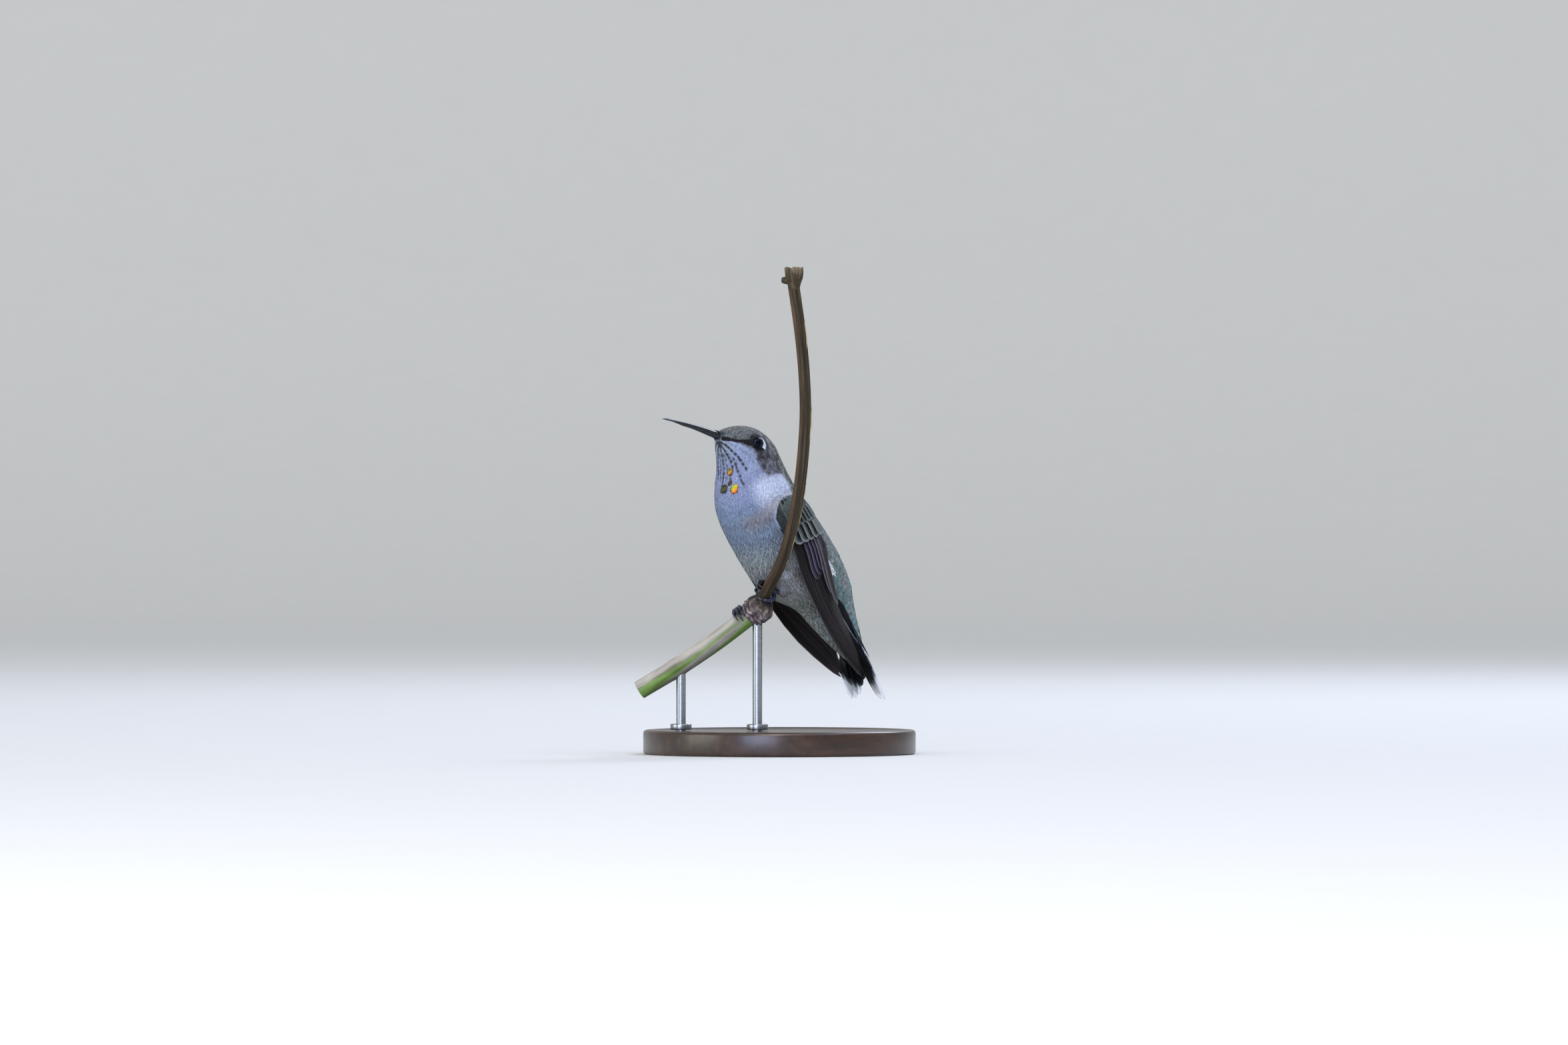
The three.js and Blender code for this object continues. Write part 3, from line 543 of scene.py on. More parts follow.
def paint(coat, mask, middle=None, edge=None):
    """Paints a patch on a coat, which holds the colours of the feathers' middles and of their fringes. middle
    and edge are each a colour and how much of it shows where the mask is full."""
    for part, layer in enumerate((middle, edge)):
        if layer:
            coat[part] = mix(coat[part], layer[0], mask * layer[1])


def near_to(points, place, far, near):
    """1 within near of a place and 0 beyond far, in millimetres."""
    return smooth(np.linalg.norm(points - np.asarray(place), axis=-1), far, near)


def throat_mark(number, path, strength, station, points):
    """Where a row of dusky spots lies on the throat, with the thin line that joins them near the bill."""
    places, turns = np.array(path).T
    fine = np.linspace(places[0], places[-1], 60)
    row = body_point(fine, np.radians(np.interp(fine, places, turns)))
    row = row + np.array([0, 0.09, 0]) * np.sin(fine * 4 + number)[:, None]
    run = run_along(row)
    beads = np.arange(0.35 + 0.3 * (number % 2), run[-1], 0.92)
    beads = beads + 0.14 * np.sin(5 * beads + 2 * number)
    beads = np.stack([np.interp(beads, run, row[:, i]) for i in range(3)], -1)
    off = near_path(points, row[::6])
    from_bead = np.linalg.norm(points[..., None, :] - beads, axis=-1).min(-1)
    line = smooth(off, 0.3, 0.12) * (0.12 + 0.75 * smooth(station, 2.6, 1.2))
    spot = smooth(from_bead, 0.5, 0.24) * smooth(off, 0.4, 0.2)
    mark = np.maximum(line, spot) * strength * smooth(station, places[0] - 0.2, places[0] + 0.2)
    return mark * smooth(station, places[-1] + 0.3, places[-1] - 0.3)


def pale_coat(station, a, p, s):
    """Colours of the underparts. a is the turn in degrees from the back and p the place."""
    points = one_sided(p)
    # The pale colours here carry the same painted blue cast of open sky.
    base = by_station(
        station,
        [0, 1.2, 2.2, 5.6, 7.0, 8.6, 9.6, 10.6, 11.4, 12.2, 15],
        [
            "#98a3b4", "#a3aec6", s.throat, s.throat, s.breast, "#7f8ea2", s.belly, "#9a9a9a", "#a2a6a0",
            s.vent, s.vent,
        ],
    )
    coat = [base, base * 1.1]
    chin = smooth(station, 3.4, 1.6) * smooth(a, 128, 150)
    paint(coat, chin, ("#7f8b94", 0.4), ("#9aa6b2", 0.4))
    cheek = span(station, 0.6, 1.6, 4.6, 5.8) * smooth(a, 132, 108)
    paint(coat, cheek, ("#9fadd2", 0.75), ("#aebcdc", 0.75))
    collar = span(station, 5.1, 6.0, 7.0, 8.0) * smooth(a, 132, 100)
    paint(coat, collar, (s.collar, 1), ("#e2ebff", 1))
    flank = span(station, 7.6, 8.8, 11.2, 12.0) * smooth(a, 128, 96)
    paint(coat, flank, (s.flank, 0.85), ("#a39d9a", 0.8))
    # Rows of dusky spots, joined by thin lines near the bill, fan out from the chin over the throat.
    streak_edge = mix(np.array(s.streak), "#4a545d", 0.3)
    for number, (path, strength) in enumerate(THROAT_ROWS):
        mark = throat_mark(number, path, strength, station, points)
        paint(coat, mark, (s.streak, 1), (streak_edge, 1))
    # Painted shade: the underparts are painted dark brown below the wing's edge, where the wing shades them.
    painted_shade_under_wing = near_to(points, body_point(10.2, math.radians(112)), 3.0, 0.8)
    paint(coat, painted_shade_under_wing, ("#3f3832", 0.65), ("#5c544c", 0.7))
    puff = near_to(points, body_point(10.15, math.radians(136)), 1.5, 0.2)
    paint(coat, puff, ("#d3dbeb", 0.85), ("#e4eaf8", 0.85))
    # A faint buff band crosses the breast to the bend of the wing.
    band_at = np.interp(a, [105, 130, 155, 180], [7.35, 7.68, 7.85, 7.9])
    band = smooth(np.abs(station - band_at), 0.62, 0.1) * smooth(a, 168, 140)
    paint(coat, band, ("#857a70", 0.6), ("#9a8f87", 0.5))
    # The undertail coverts: whitish, with dusky green middles.
    vent = smooth(station, 11.3, 12.1)
    paint(coat, vent * smooth(blotches(p, 6, 2.0), 0.0, 0.8), ("#a3bab6", 0.6))
    paint(coat, vent * smooth(blotches(p, 7, 2.4), 0.0, 0.9), ("#66736f", 0.35))
    paint(coat, vent, None, ("#abb2a8", 0.8))
    return coat


def dark_coat(station, a, p, s):
    """Colours of the upper side, from the same measures."""
    points = one_sided(p)
    middles = by_station(
        station,
        [0, 3.5, 5.0, 6.6, 8.5, 10.0, 11.5, 15],
        [s.crown, s.crown, "#363b3b", s.mantle, "#4a5955", "#4f6b68", s.rump, "#5d8f8b"],
    )
    fringes = by_station(
        station,
        [0, 3.5, 5.2, 7, 9, 12, 15],
        [s.crown_edge, s.crown_edge, "#9a9897", "#949d9a", "#a9afb0", "#a3adb0", "#a5a9af"],
    )
    coat = [middles, fringes]
    uneven = blotches(p, 3, 0.9)
    ear = span(station, 3.5, 4.0, 6.0, 6.6) * smooth(a, 56, 68)
    paint(coat, ear, (s.ear, 0.9), ("#8a8b9c", 0.9))
    # Behind the eye dark and pale feathers stand in streaks, darkest under it and at the ear's low corner.
    nape = span(station, 3.4, 4.2, 6.4, 7.4)
    behind = 0.6 + 0.4 * smooth(a, 30, 50)
    under_eye = near_to(points, [-11.2, 5.2, 61.3], 1.9, 0.5)
    corner = near_to(points, [-6.6, 6.0, 59.4], 1.5, 0.4)
    dark = np.maximum(np.maximum(under_eye, corner), nape * smooth(uneven, 0.1, 0.9) * behind) * 0.75
    paint(coat, dark, ("#16171c", 1), ("#2c2c35", 1))
    light = nape * smooth(uneven, -0.1, -0.9) * (1 - dark) * behind
    paint(coat, light, ("#8d8e94", 0.45), ("#c9c9cc", 0.7))
    # The back's fringes are now greyer, now pinkish, and some feathers are worn dull.
    worn = smooth(station, 7.0, 8.0)
    paint(coat, worn * smooth(blotches(p, 5, 2.2), 0.3, 1.1), ("#726d6b", 0.55))
    paint(coat, worn * smooth(uneven, 0.0, 0.9), None, ("#b3a8a7", 0.6))
    coat[0] = coat[0] * (1 + 0.3 * blotches(p, 8, 0.55))[..., None]
    coat[1] = coat[1] * (1 + 0.25 * blotches(p, 9, 0.6))[..., None]
    paint(coat, near_to(points, [-8.6, 5.9, 57.9], 2.0, 0.6), None, ("#a9b1cc", 0.8))
    # Painted highlight: the fringes along the top of the head and neck are painted paler, where light grazes
    # the outline.
    paint(coat, smooth(a, 45, 15) * smooth(station, 5.0, 3.2), None, ("#bba79e", 0.7))
    front = smooth(station, 0.6, 0.2) * smooth(a, 85, 60)
    paint(coat, front, ("#1d2027", 1), ("#4a4d57", 1))
    return coat


def plumage(station, turn, s):
    """Colours of the feathers' middles and of their fringes at places on the body, from the settings s."""
    a = degrees_from_back(turn)
    p = body_point(station, turn)
    upper = is_upper(station, turn)[..., None]
    pale, dark = pale_coat(station, a, p, s), dark_coat(station, a, p, s)
    coat = [under + (over - under) * upper for under, over in zip(pale, dark)]
    # The black line before the eye, the ring round the eye and the brow over it.
    x, y, z = p[..., 0], p[..., 1], p[..., 2]
    breadth = np.interp(x, [-18.0, -17.0, -16.1, -15.2, -14.0], [0.46, 0.3, 0.3, 0.55, 0.75])
    off = near_path(p[..., [0, 2]], LORE) - breadth
    lore = smooth(off, 0.05, -0.08) * (np.abs(y) > 0.9) * smooth(station, 4.2, 3.6)
    from_eye = np.linalg.norm(one_sided(p) - EYE["centre"] - EYE["outward"] * 0.9, axis=-1)
    rim = smooth(from_eye, 1.85, 1.6) * (1 - smooth(x, -11.2, -10.7))
    brow = smooth(from_eye, 2.3, 2.0) * smooth(z, 64.4, 64.7) * smooth(x, -10.4, -11.0)
    paint(coat, np.maximum(np.maximum(lore, rim), brow), (s.lore, 1), ("#0d0e12", 1))
    return coat


# ---------------------------------------------------------------- materials


def connect(tree, node, inputs):
    """Sets a node's inputs: each is a value, another node's output, or a node whose first output is meant."""
    for key, value in inputs.items():
        socket = node.inputs[key]
        if isinstance(value, bpy.types.Node):
            value = value.outputs[0]
        if isinstance(value, bpy.types.NodeSocket):
            tree.links.new(value, socket)
        elif socket.type == "RGBA" and len(value) == 3:
            socket.default_value = (*value, 1)
        else:
            socket.default_value = value


def add_node(tree, kind, inputs=None, **settings):
    """Adds a node with its settings and inputs. stops are the places and colours of a ramp."""
    made = tree.nodes.new(kind)
    for stop, (place, shade) in enumerate(settings.pop("stops", [])):
        while len(made.color_ramp.elements) <= stop:
            made.color_ramp.elements.new(1.0)
        made.color_ramp.elements[stop].position = place
        made.color_ramp.elements[stop].color = (*shade, 1)
    for key, value in settings.items():
        setattr(made, key, value)
    connect(tree, made, inputs or {})
    return made


def surface(name, sockets):
    """A material whose Principled shader has these sockets. Returns the material, its tree and the shader."""
    material = bpy.data.materials.new(name)
    material.use_nodes = True
    tree = material.node_tree
    tree.nodes.clear()
    shader = add_node(tree, "ShaderNodeBsdfPrincipled", sockets)
    add_node(tree, "ShaderNodeOutputMaterial", {"Surface": shader})
    return material, tree, shader


def mottled(name, sockets, noise, shades, bump=None, base=None, grain=None, mapped=False):
    """A whole material in an uneven colour. noise is its scale and detail, over the piece or its own map, and
    grain draws it out. With two numbers as shades it runs between those levels of base, or else of the
    piece's own tint, and with (place, colour) pairs along a ramp. bump is its height in millimetres and its
    strength. Returns the material, its tree, its shader and the noise."""
    material, tree, shader = surface(name, sockets)
    if mapped:
        place = add_node(tree, "ShaderNodeUVMap", uv_map="UVMap")
    else:
        place = add_node(tree, "ShaderNodeTexCoord").outputs["Object"]
    if grain:
        place = add_node(tree, "ShaderNodeMapping", {"Vector": place, "Scale": grain})
    scale, detail = noise
    fac = add_node(tree, "ShaderNodeTexNoise", {"Vector": place, "Scale": scale, "Detail": detail})
    if isinstance(shades[0], tuple):
        mottle = add_node(tree, "ShaderNodeValToRGB", {"Fac": fac}, stops=shades)
    else:
        low, high = shades
        base = base or add_node(tree, "ShaderNodeAttribute", attribute_name="tint")
        level = add_node(tree, "ShaderNodeMapRange", {"Value": fac, "To Min": low, "To Max": high})
        mottle = add_node(tree, "ShaderNodeVectorMath", {0: base, "Scale": level}, operation="SCALE")
    connect(tree, shader, {"Base Color": mottle})
    if bump:
        high, strength = bump
        rise = add_node(tree, "ShaderNodeBump", {"Height": fac, "Distance": high * MM, "Strength": strength})
        connect(tree, shader, {"Normal": rise})
    return material, tree, shader, fac


def times(shade, factor, plus=0.0):
    return tuple(c * factor + plus for c in shade)


def feather_material(name, gloss, sheen, barbs_along, barbs_across, contrast, distance, **more):
    """Keratin barbs side by side off a shaft: satin, with fine slanting lines that catch the light."""
    sockets = {"Roughness": gloss, "IOR": 1.54, "Specular IOR Level": 0.2, "Sheen Weight": sheen}
    material, tree, shader = surface(name, {**sockets, "Sheen Roughness": 0.5, **more})
    tint = add_node(tree, "ShaderNodeAttribute", attribute_name="tint")
    place = add_node(tree, "ShaderNodeUVMap", uv_map="UVMap")
    across, along, _ = add_node(tree, "ShaderNodeSeparateXYZ", {"Vector": place}).outputs
    off = add_node(tree, "ShaderNodeMath", {0: across, 1: 0.5}, operation="SUBTRACT")
    off = add_node(tree, "ShaderNodeMath", {0: off}, operation="ABSOLUTE")
    slant = add_node(tree, "ShaderNodeMath", {0: off, 1: -barbs_across}, operation="MULTIPLY")
    line = add_node(tree, "ShaderNodeMath", {0: along, 1: barbs_along, 2: slant}, operation="MULTIPLY_ADD")
    wave = add_node(tree, "ShaderNodeMath", {0: line}, operation="SINE")
    own = add_node(tree, "ShaderNodeTexCoord").outputs["Object"]
    sockets = {"Vector": own, "Scale": 1600.0, "Detail": 4.0, "Roughness": 0.7}
    noise = add_node(tree, "ShaderNodeTexNoise", sockets)
    shade = add_node(tree, "ShaderNodeMath", {0: wave, 1: contrast, 2: noise}, operation="MULTIPLY_ADD")
    sockets = {"Value": shade, "From Min": 0.25, "From Max": 0.75, "To Min": 0.78, "To Max": 1.18}
    level = add_node(tree, "ShaderNodeMapRange", sockets)
    scaled = add_node(tree, "ShaderNodeVectorMath", {0: tint, "Scale": level}, operation="SCALE")
    rise = add_node(tree, "ShaderNodeBump", {"Height": wave, "Distance": distance * MM, "Strength": 0.5})
    connect(tree, shader, {"Base Color": scaled, "Normal": rise})
    return material


# ---------------------------------------------------------------- operators


# Each lamp's place, its share of the power, its size and its colour.
LAMPS = [
    ("key_lamp", (-0.95, -0.8, 1.05), 0.82, 0.55, "#fff8ee"),  # high before the bird's breast
    ("sky_lamp", (-1.25, -0.75, 0.12), 1.0, 0.7, "#c4d3ff"),  # broad and blue, low beside the camera
    ("zenith_lamp", (0.4, -0.8, 1.25), 0.38, 0.7, "#93b2ff"),  # blue and overhead, like open sky
    ("front_lamp", (-1.15, 0.45, 0.2), 0.42, 0.7, "#e9f0e4"),  # low before the bird's face
    ("rim_lamp", (0.85, 0.25, 0.8), 0.5, 0.5, "#dfe9ff"),  # weak, behind the back
]
LAMPS_AIM = Vector((0, 0, 0.045))


class HUMMINGBIRD_OT_stage(bpy.types.Operator):
    """Makes the pale floor, the soft lamps and the camera"""

    bl_idname = "hummingbird.make_stage"
    bl_label = "Make Stage"

    def execute(self, context):
        s = context.scene.hummingbird_stage
        # One pale sweep: a level floor that curves up all round, far from the part.
        turn = circle(96)
        radius = np.r_[0.02, 0.1, 0.4, 1.2, 2.4, 3.2, 3.6, 3.95, 4.2, 4.36, 4.43, 4.45][:, None]
        height = np.r_[0, 0, 0, 0, 0, 0.0, 0.06, 0.2, 0.45, 0.8, 1.3, 3.0][:, None]
        rings = np.stack([radius * np.cos(turn), radius * np.sin(turn), height + 0 * turn], -1)
        floor = lofted("floor", rings, close=False)
        bpy.ops.object.mode_set(mode="EDIT")
        bpy.ops.mesh.select_all(action="DESELECT")
        bpy.ops.object.mode_set(mode="OBJECT")
        for v in floor.data.vertices:
            v.select = math.hypot(v.co.x, v.co.y) < 0.05
        bpy.ops.object.mode_set(mode="EDIT")
        bpy.ops.mesh.select_mode(type="VERT")
        bpy.ops.mesh.edge_face_add()
        bpy.ops.mesh.select_all(action="SELECT")
        bpy.ops.mesh.normals_make_consistent(inside=True)
        bpy.ops.object.mode_set(mode="OBJECT")
        # Matt painted board: even and pale, with a breath of unevenness from the roller.
        look = {"base": tuple(s.floor)}
        material, *_ = mottled("painted_board", {"Roughness": 0.85}, (60.0, 2.0), (0.97, 1.0), **look)
        floor.data.materials.append(material)

        world = bpy.data.worlds.new("soft_sky")
        world.use_nodes = True
        sky = world.node_tree.nodes["Background"]
        sky.inputs["Color"].default_value = (*s.sky, 1)
        sky.inputs["Strength"].default_value = s.sky_strength
        context.scene.world = world
        context.scene.view_settings.view_transform = "Standard"

        alone()
        for name, place, share, size, tint in LAMPS:
            bpy.ops.object.light_add(type="AREA", location=place)
            lamp = named(name)
            lamp.data.shape = "DISK"
            lamp.data.energy = s.key_power * share
            lamp.data.size = size
            lamp.data.color = linear(tint)
            lamp.rotation_euler = (LAMPS_AIM - Vector(place)).to_track_quat("-Z", "Y").to_euler()
        bpy.ops.object.light_add(type="SUN", location=(0, 0, 2))
        fill = named("sweep_fill")
        fill.data.energy = s.fill
        fill.data.angle = math.radians(60)
        fill.rotation_euler = Vector((0.35, 0.65, -0.75)).to_track_quat("-Z", "Y").to_euler()

        # A level, long-lensed camera, turned 42 degrees towards the bird's front.
        azimuth = math.radians(-42)
        focus = 0.94 * MM
        width = 322.19178 * MM  # what the frame takes in, across, at the vine
        behind = Vector((math.sin(azimuth), -math.cos(azimuth), 0))
        right = Vector((math.cos(azimuth), math.sin(azimuth), 0))
        target = right * focus + Vector((0, 0, 47.6 * MM))
        bpy.ops.object.camera_add(location=target + behind * s.distance)
        camera = named("camera")
        camera.rotation_euler = (-behind).to_track_quat("-Z", "Y").to_euler()
        camera.data.sensor_width = 36
        camera.data.lens = 36 * s.distance / width
        camera.data.clip_start = 0.05
        camera.data.clip_end = 30
        context.scene.camera = camera
        return {"FINISHED"}


# Measures of the small feathers by station, in millimetres: the gap between rows, the gap across, the length
# and the half width. The pale underparts are fine strands and the upper side is broad scales.
COAT_STATIONS = [0, 0.6, 1.5, 3, 4.5, 6, 7.5, 9, 11, 12.5, 14, 15]
STRANDS = {
    "row": [0.16, 0.2, 0.25, 0.3, 0.34, 0.4, 0.46, 0.52, 0.6, 0.8, 1.0, 1.0],
    "across": [0.16, 0.17, 0.19, 0.21, 0.23, 0.26, 0.28, 0.31, 0.35, 0.5, 0.66, 0.7],
    "length": [0.6, 0.8, 1.1, 1.5, 1.9, 2.4, 2.9, 3.2, 3.6, 4.2, 4.6, 4.0],
    "half": [0.11, 0.13, 0.15, 0.17, 0.185, 0.21, 0.235, 0.26, 0.31, 0.5, 0.65, 0.65],
    "widths": [0.45, 0.85, 1.0, 0.72, 0.2],
    "columns": [-1, -0.5, 0, 0.5, 1],
    "dome": 0.08,
}
SCALES = {
    "row": [0.18, 0.24, 0.33, 0.4, 0.44, 0.54, 0.74, 0.88, 1.0, 1.35, 1.6, 1.6],
    "across": [0.22, 0.27, 0.35, 0.4, 0.44, 0.54, 0.74, 0.88, 1.0, 1.2, 1.35, 1.35],
    "length": [0.65, 0.9, 1.15, 1.4, 1.6, 2.0, 2.5, 2.9, 3.3, 4.5, 5.2, 4.4],
    "half": [0.15, 0.19, 0.24, 0.27, 0.3, 0.37, 0.5, 0.59, 0.67, 0.86, 0.95, 0.8],
    "widths": [0.35, 0.85, 1.0, 0.92, 0.5],
    "columns": [-1, -0.7, -0.35, 0, 0.35, 0.7, 1],
    "dome": 0.12,
}
SKIN_DEPTH = [0.1, 0.12, 0.15, 0.18, 0.2, 0.24, 0.27, 0.29, 0.31, 0.33, 0.32, 0.28]
COAT_ROWS = np.array([0, 0.3, 0.6, 0.86, 1.0])
COAT_START = -0.35  # stations of the first and last rows of small feathers
COAT_END = 14.3
COAT_COLUMNS = np.array(SCALES["columns"])
HIPS = {"left": np.array([-3.9, -3.2, 34.0]), "right": np.array([-3.9, 3.0, 34.0])}
THIGH = np.array([1.65, 1.45, 1.75])  # half sizes of the top of the leg


class HUMMINGBIRD_OT_skin(bpy.types.Operator):
    """Makes the skin that lies under the small feathers"""

    bl_idname = "hummingbird.make_skin"
    bl_label = "Make Skin"

    def execute(self, context):
        s = context.scene.hummingbird_plumage
        station = np.linspace(0, LAST - 0.15, 220)
        turn = circle(112)
        grid_s, grid_t = np.meshgrid(station, turn, indexing="ij")
        depth = np.interp(grid_s, COAT_STATIONS, SKIN_DEPTH)
        points = body_point(grid_s, grid_t, -depth)
        _, _, normal = body_frame(grid_s, grid_t)
        # The tops of the legs swell out of the same surface.
        size = THIGH - 0.35
        for hip in HIPS.values():
            q, n = (points - hip) / size, normal / size
            square, middle, inner = (n * n).sum(-1), (q * n).sum(-1), (q * q).sum(-1) - 1
            out = (-middle + np.sqrt(np.maximum(middle**2 - square * inner, 0))) / square
            points = points + normal * np.where(inner < 0, np.maximum(out, 0), 0)[..., None]
        rings = (points + OFFSET) * MM
        middle, edge = plumage(grid_s, grid_t, s)
        skin = lofted("skin", rings, tint=(middle + edge) * 0.5)
        set_map_from(skin, "OFBake")
        # Short down pressed flat: matt and softly mottled.
        sockets = {"Roughness": 0.9}
        material, *_ = mottled("down_over_skin", sockets, (1500.0, 4.0), (0.7, 1.1), bump=(0.1, 0.6))
        flesh = ["head", "neck", "breast", "belly", "rump", "thigh_left", "thigh_right"]
        finish_piece(skin, material, flesh)
        return {"FINISHED"}


def set_map_from(piece, name):
    """Copies a loft's own map, which already runs round and along it, into another map."""
    own = np.zeros(len(piece.data.loops) * 2, np.float32)
    piece.data.uv_layers["UVMap"].data.foreach_get("uv", own)
    set_map(piece, name, MARGIN + (1 - 2 * MARGIN) * own)


def coat_roots(rng, kind, density):
    """Places of the small feathers in staggered rows round the body, closer where they are smaller."""
    stations, turns = [], []
    fine = np.linspace(0, TURN, 181)
    station, number = COAT_START, 0
    while station < COAT_END:
        ring = body_point(np.full(len(fine), station), fine)
        arc = run_along(ring)
        count = int(arc[-1] / np.interp(station, COAT_STATIONS, kind["across"]) * density)
        place = (np.arange(count) + 0.5 * (number % 2) + rng.uniform(-0.2, 0.2, count)) / count % 1
        turns.append(np.interp(place * arc[-1], arc, fine))
        speed, _, _ = body_frame(np.full(4, station), np.array([0.0, 1.2, 2.2, math.pi]))
        step = np.interp(station, COAT_STATIONS, kind["row"]) / np.linalg.norm(speed, axis=-1).max() / density
        stations.append(station + rng.uniform(-0.25, 0.25, count) * step)
        station += step
        number += 1
    return np.concatenate(stations), np.concatenate(turns)


def lay(station, turn, length, half, depth, top, lean, widths, dome):
    """Feathers laid along the body from their roots. Returns centre lines, normals, half widths, domes and
    the places of all their rows as stations and turns."""
    speed, round_, _ = body_frame(station, turn)
    v = COAT_ROWS[None]
    run = length[:, None] * v
    s = station[:, None] + run * np.cos(lean)[:, None] / np.linalg.norm(speed, axis=-1)[:, None]
    t = turn[:, None] + run * np.sin(lean)[:, None] / np.linalg.norm(round_, axis=-1)[:, None]
    lift = -depth[:, None] + (depth + top)[:, None] * np.power(v, 0.75)
    _, _, up = body_frame(s, t)
    centre = body_point(s, t) + up * lift[..., None]
    wide = half[:, None] * np.array(widths)[None]
    return centre, up, wide, wide * dome + 0.01, s, t


def tuft(name, slot, station, turn, length, half, depth, top, lean, code, shade):
    """Plain strands in one colour, each a little darker or paler."""
    centre, up, wide, dome, _, _ = lay(station, turn, length, half, depth, top, lean, STRANDS["widths"], 0.1)
    tint = np.array(linear(code)) * shade
    piece = feathers(name, centre, up, wide, dome, COAT_COLUMNS, tint, (unwrapped(station, turn), PATCH))
    finish_piece(piece, bpy.data.materials["contour_feather"])


class HUMMINGBIRD_OT_coat(bpy.types.Operator):
    """Makes the small feathers of head, body, rump and throat"""

    bl_idname = "hummingbird.make_coat"
    bl_label = "Make Coat"

    def execute(self, context):
        s = context.scene.hummingbird_plumage
        rng = np.random.default_rng(s.seed)
        material = feather_material("contour_feather", 0.65, 0.06, 62.0, 46.0, 0.08, 0.01)
        parts = [self.layer(rng, s, STRANDS, False), self.layer(rng, s, SCALES, True)]
        columns = [np.array(STRANDS["columns"]), np.array(SCALES["columns"])]
        regions = {
            "feathers_head": ("plumage_head", -1.0, 3.9, True),
            "feathers_nape": ("plumage_head", 3.9, 6.8, True),
            "feathers_back": ("plumage_rump", 6.8, 20.0, True),
            "feathers_cheek": ("plumage_throat", -1.0, 2.6, False),
            "feathers_throat": ("plumage_throat", 2.6, 4.2, False),
            "feathers_throat_low": ("plumage_throat", 4.2, 5.4, False),
            "feathers_neck": ("plumage_throat", 5.4, 6.5, False),
            "feathers_breast": ("plumage_breast", 6.5, 7.6, False),
            "feathers_breast_low": ("plumage_breast", 7.6, 8.6, False),
            "feathers_belly": ("plumage_belly", 8.6, 9.6, False),
            "feathers_belly_low": ("plumage_belly", 9.6, 10.8, False),
            "feathers_vent": ("plumage_belly", 10.8, 20.0, False),
        }
        for name, (slot, first, last, upper) in regions.items():
            station, turn, centre, up, wide, dome, tint, stagger = parts[upper]
            pick = np.flatnonzero((station >= first) & (station < last))
            place = unwrapped(station[pick], turn[pick]), PATCH
            lines = centre[pick], up[pick], wide[pick], dome[pick]
            piece = feathers(name, *lines, columns[upper], tint[pick], place, stagger[pick])
            finish_piece(piece, material)
        self.gorget(rng)
        self.eye_spots(rng)
        self.bill_base(rng, material)
        return {"FINISHED"}

    def eye_spots(self, rng):
        """The white crescent close behind each eye."""
        for name, side in SIDES:
            share, column = (x.ravel() for x in np.meshgrid(np.linspace(0, 1, 17), [0, 1, 2, 3]))
            count = len(share)
            station = 3.8 + 0.27 * share + 0.06 * column + rng.uniform(-0.02, 0.02, count)
            turn = side * np.radians(55.5 + 15.5 * share + rng.uniform(-0.8, 0.8, count))
            bow = 1 - (2 * share - 1) ** 2
            length = (0.5 + 0.35 * bow) * rng.uniform(0.85, 1.1, count)
            half, depth, top = np.full(count, 0.1), np.full(count, 0.06), 0.03 + 0.012 * column
            lean = rng.normal(0, 0.12, count)
            shade = rng.normal(1, 0.04, (count, 1, 1, 1))
            lie = station, turn, length, half, depth, top, lean
            tuft(f"eye_spot_{name}", "plumage_head", *lie, "#e4ebfd", shade)

    def bill_base(self, rng, material):
        """Feathers that run forward in a wedge over the culmen and, lower, under the chin."""
        base, back = BILL["base"], unit(BILL["base"] - BILL["tip"])
        rise = np.array([back[2], 0, -back[0]])
        rise = rise * np.sign(rise[2])
        angle, ahead = [], []
        for degrees in np.arange(-180, 180, 8.0):
            reach = np.interp(abs(degrees), [0, 40, 75, 100, 130, 180], [1.7, 1.15, 0.35, 0.15, 0.7, 1.3])
            for place in np.arange(-0.7, reach, 0.15):
                angle.append(math.radians(degrees + rng.uniform(-3, 3)))
                ahead.append(place + rng.uniform(-0.06, 0.06))
        angle, ahead = np.array(angle), np.array(ahead)
        count = len(angle)
        low = degrees_from_back(angle)
        length = rng.uniform(0.7, 0.95, count)
        run = ahead[:, None] - length[:, None] * COAT_ROWS[None]
        flare = np.interp(low, [0, 60, 100, 180], [0.3, 0.6, 0.65, 0.8])[:, None]
        over = 0.02 + 0.07 * COAT_ROWS[None] + np.maximum(-run, 0) * flare
        way = rise * np.cos(angle)[:, None] + np.array([0, 1.0, 0]) * np.sin(angle)[:, None]
        size = np.stack([BILL["half_width"] + over] * 3, -1)
        centre = base - back * run[..., None] + way[:, None] * size
        half = 0.11 * np.array(STRANDS["widths"])[None]
        stops = [0, 45, 62, 100, 112, 180]
        shade = by_station(low, stops, ["#34343a", "#202127", "#0a0b0e", "#121418", "#3a4147", "#515b66"])
        shade = shade * rng.uniform(0.6, 1.25, (count, 1))
        pale = by_station(low, stops, ["#8f8480", "#4a494e", "#101115", "#1c1f24", "#6d7782", "#828d9b"])
        tip = smooth(COAT_ROWS, 0.5, 1.0)[None, :, None, None]
        tint = shade[:, None, None] * (1 - tip) + pale[:, None, None] * tip
        place = unwrapped(np.clip(0.3 - 0.15 * ahead, 0, 1), angle), PATCH
        up = np.repeat(way[:, None], len(COAT_ROWS), 1)
        vane = centre, up, half, half * 0.1 + 0.01, STRANDS["columns"], tint
        piece = feathers("feathers_bill_base", *vane, place)
        finish_piece(piece, material)

    def layer(self, rng, s, kind, upper):
        """All the feathers of one kind, on the upper side or on the underparts."""
        station, turn = coat_roots(rng, kind, s.density)
        count = len(station)

        def at(values):
            return np.interp(station, COAT_STATIONS, values)

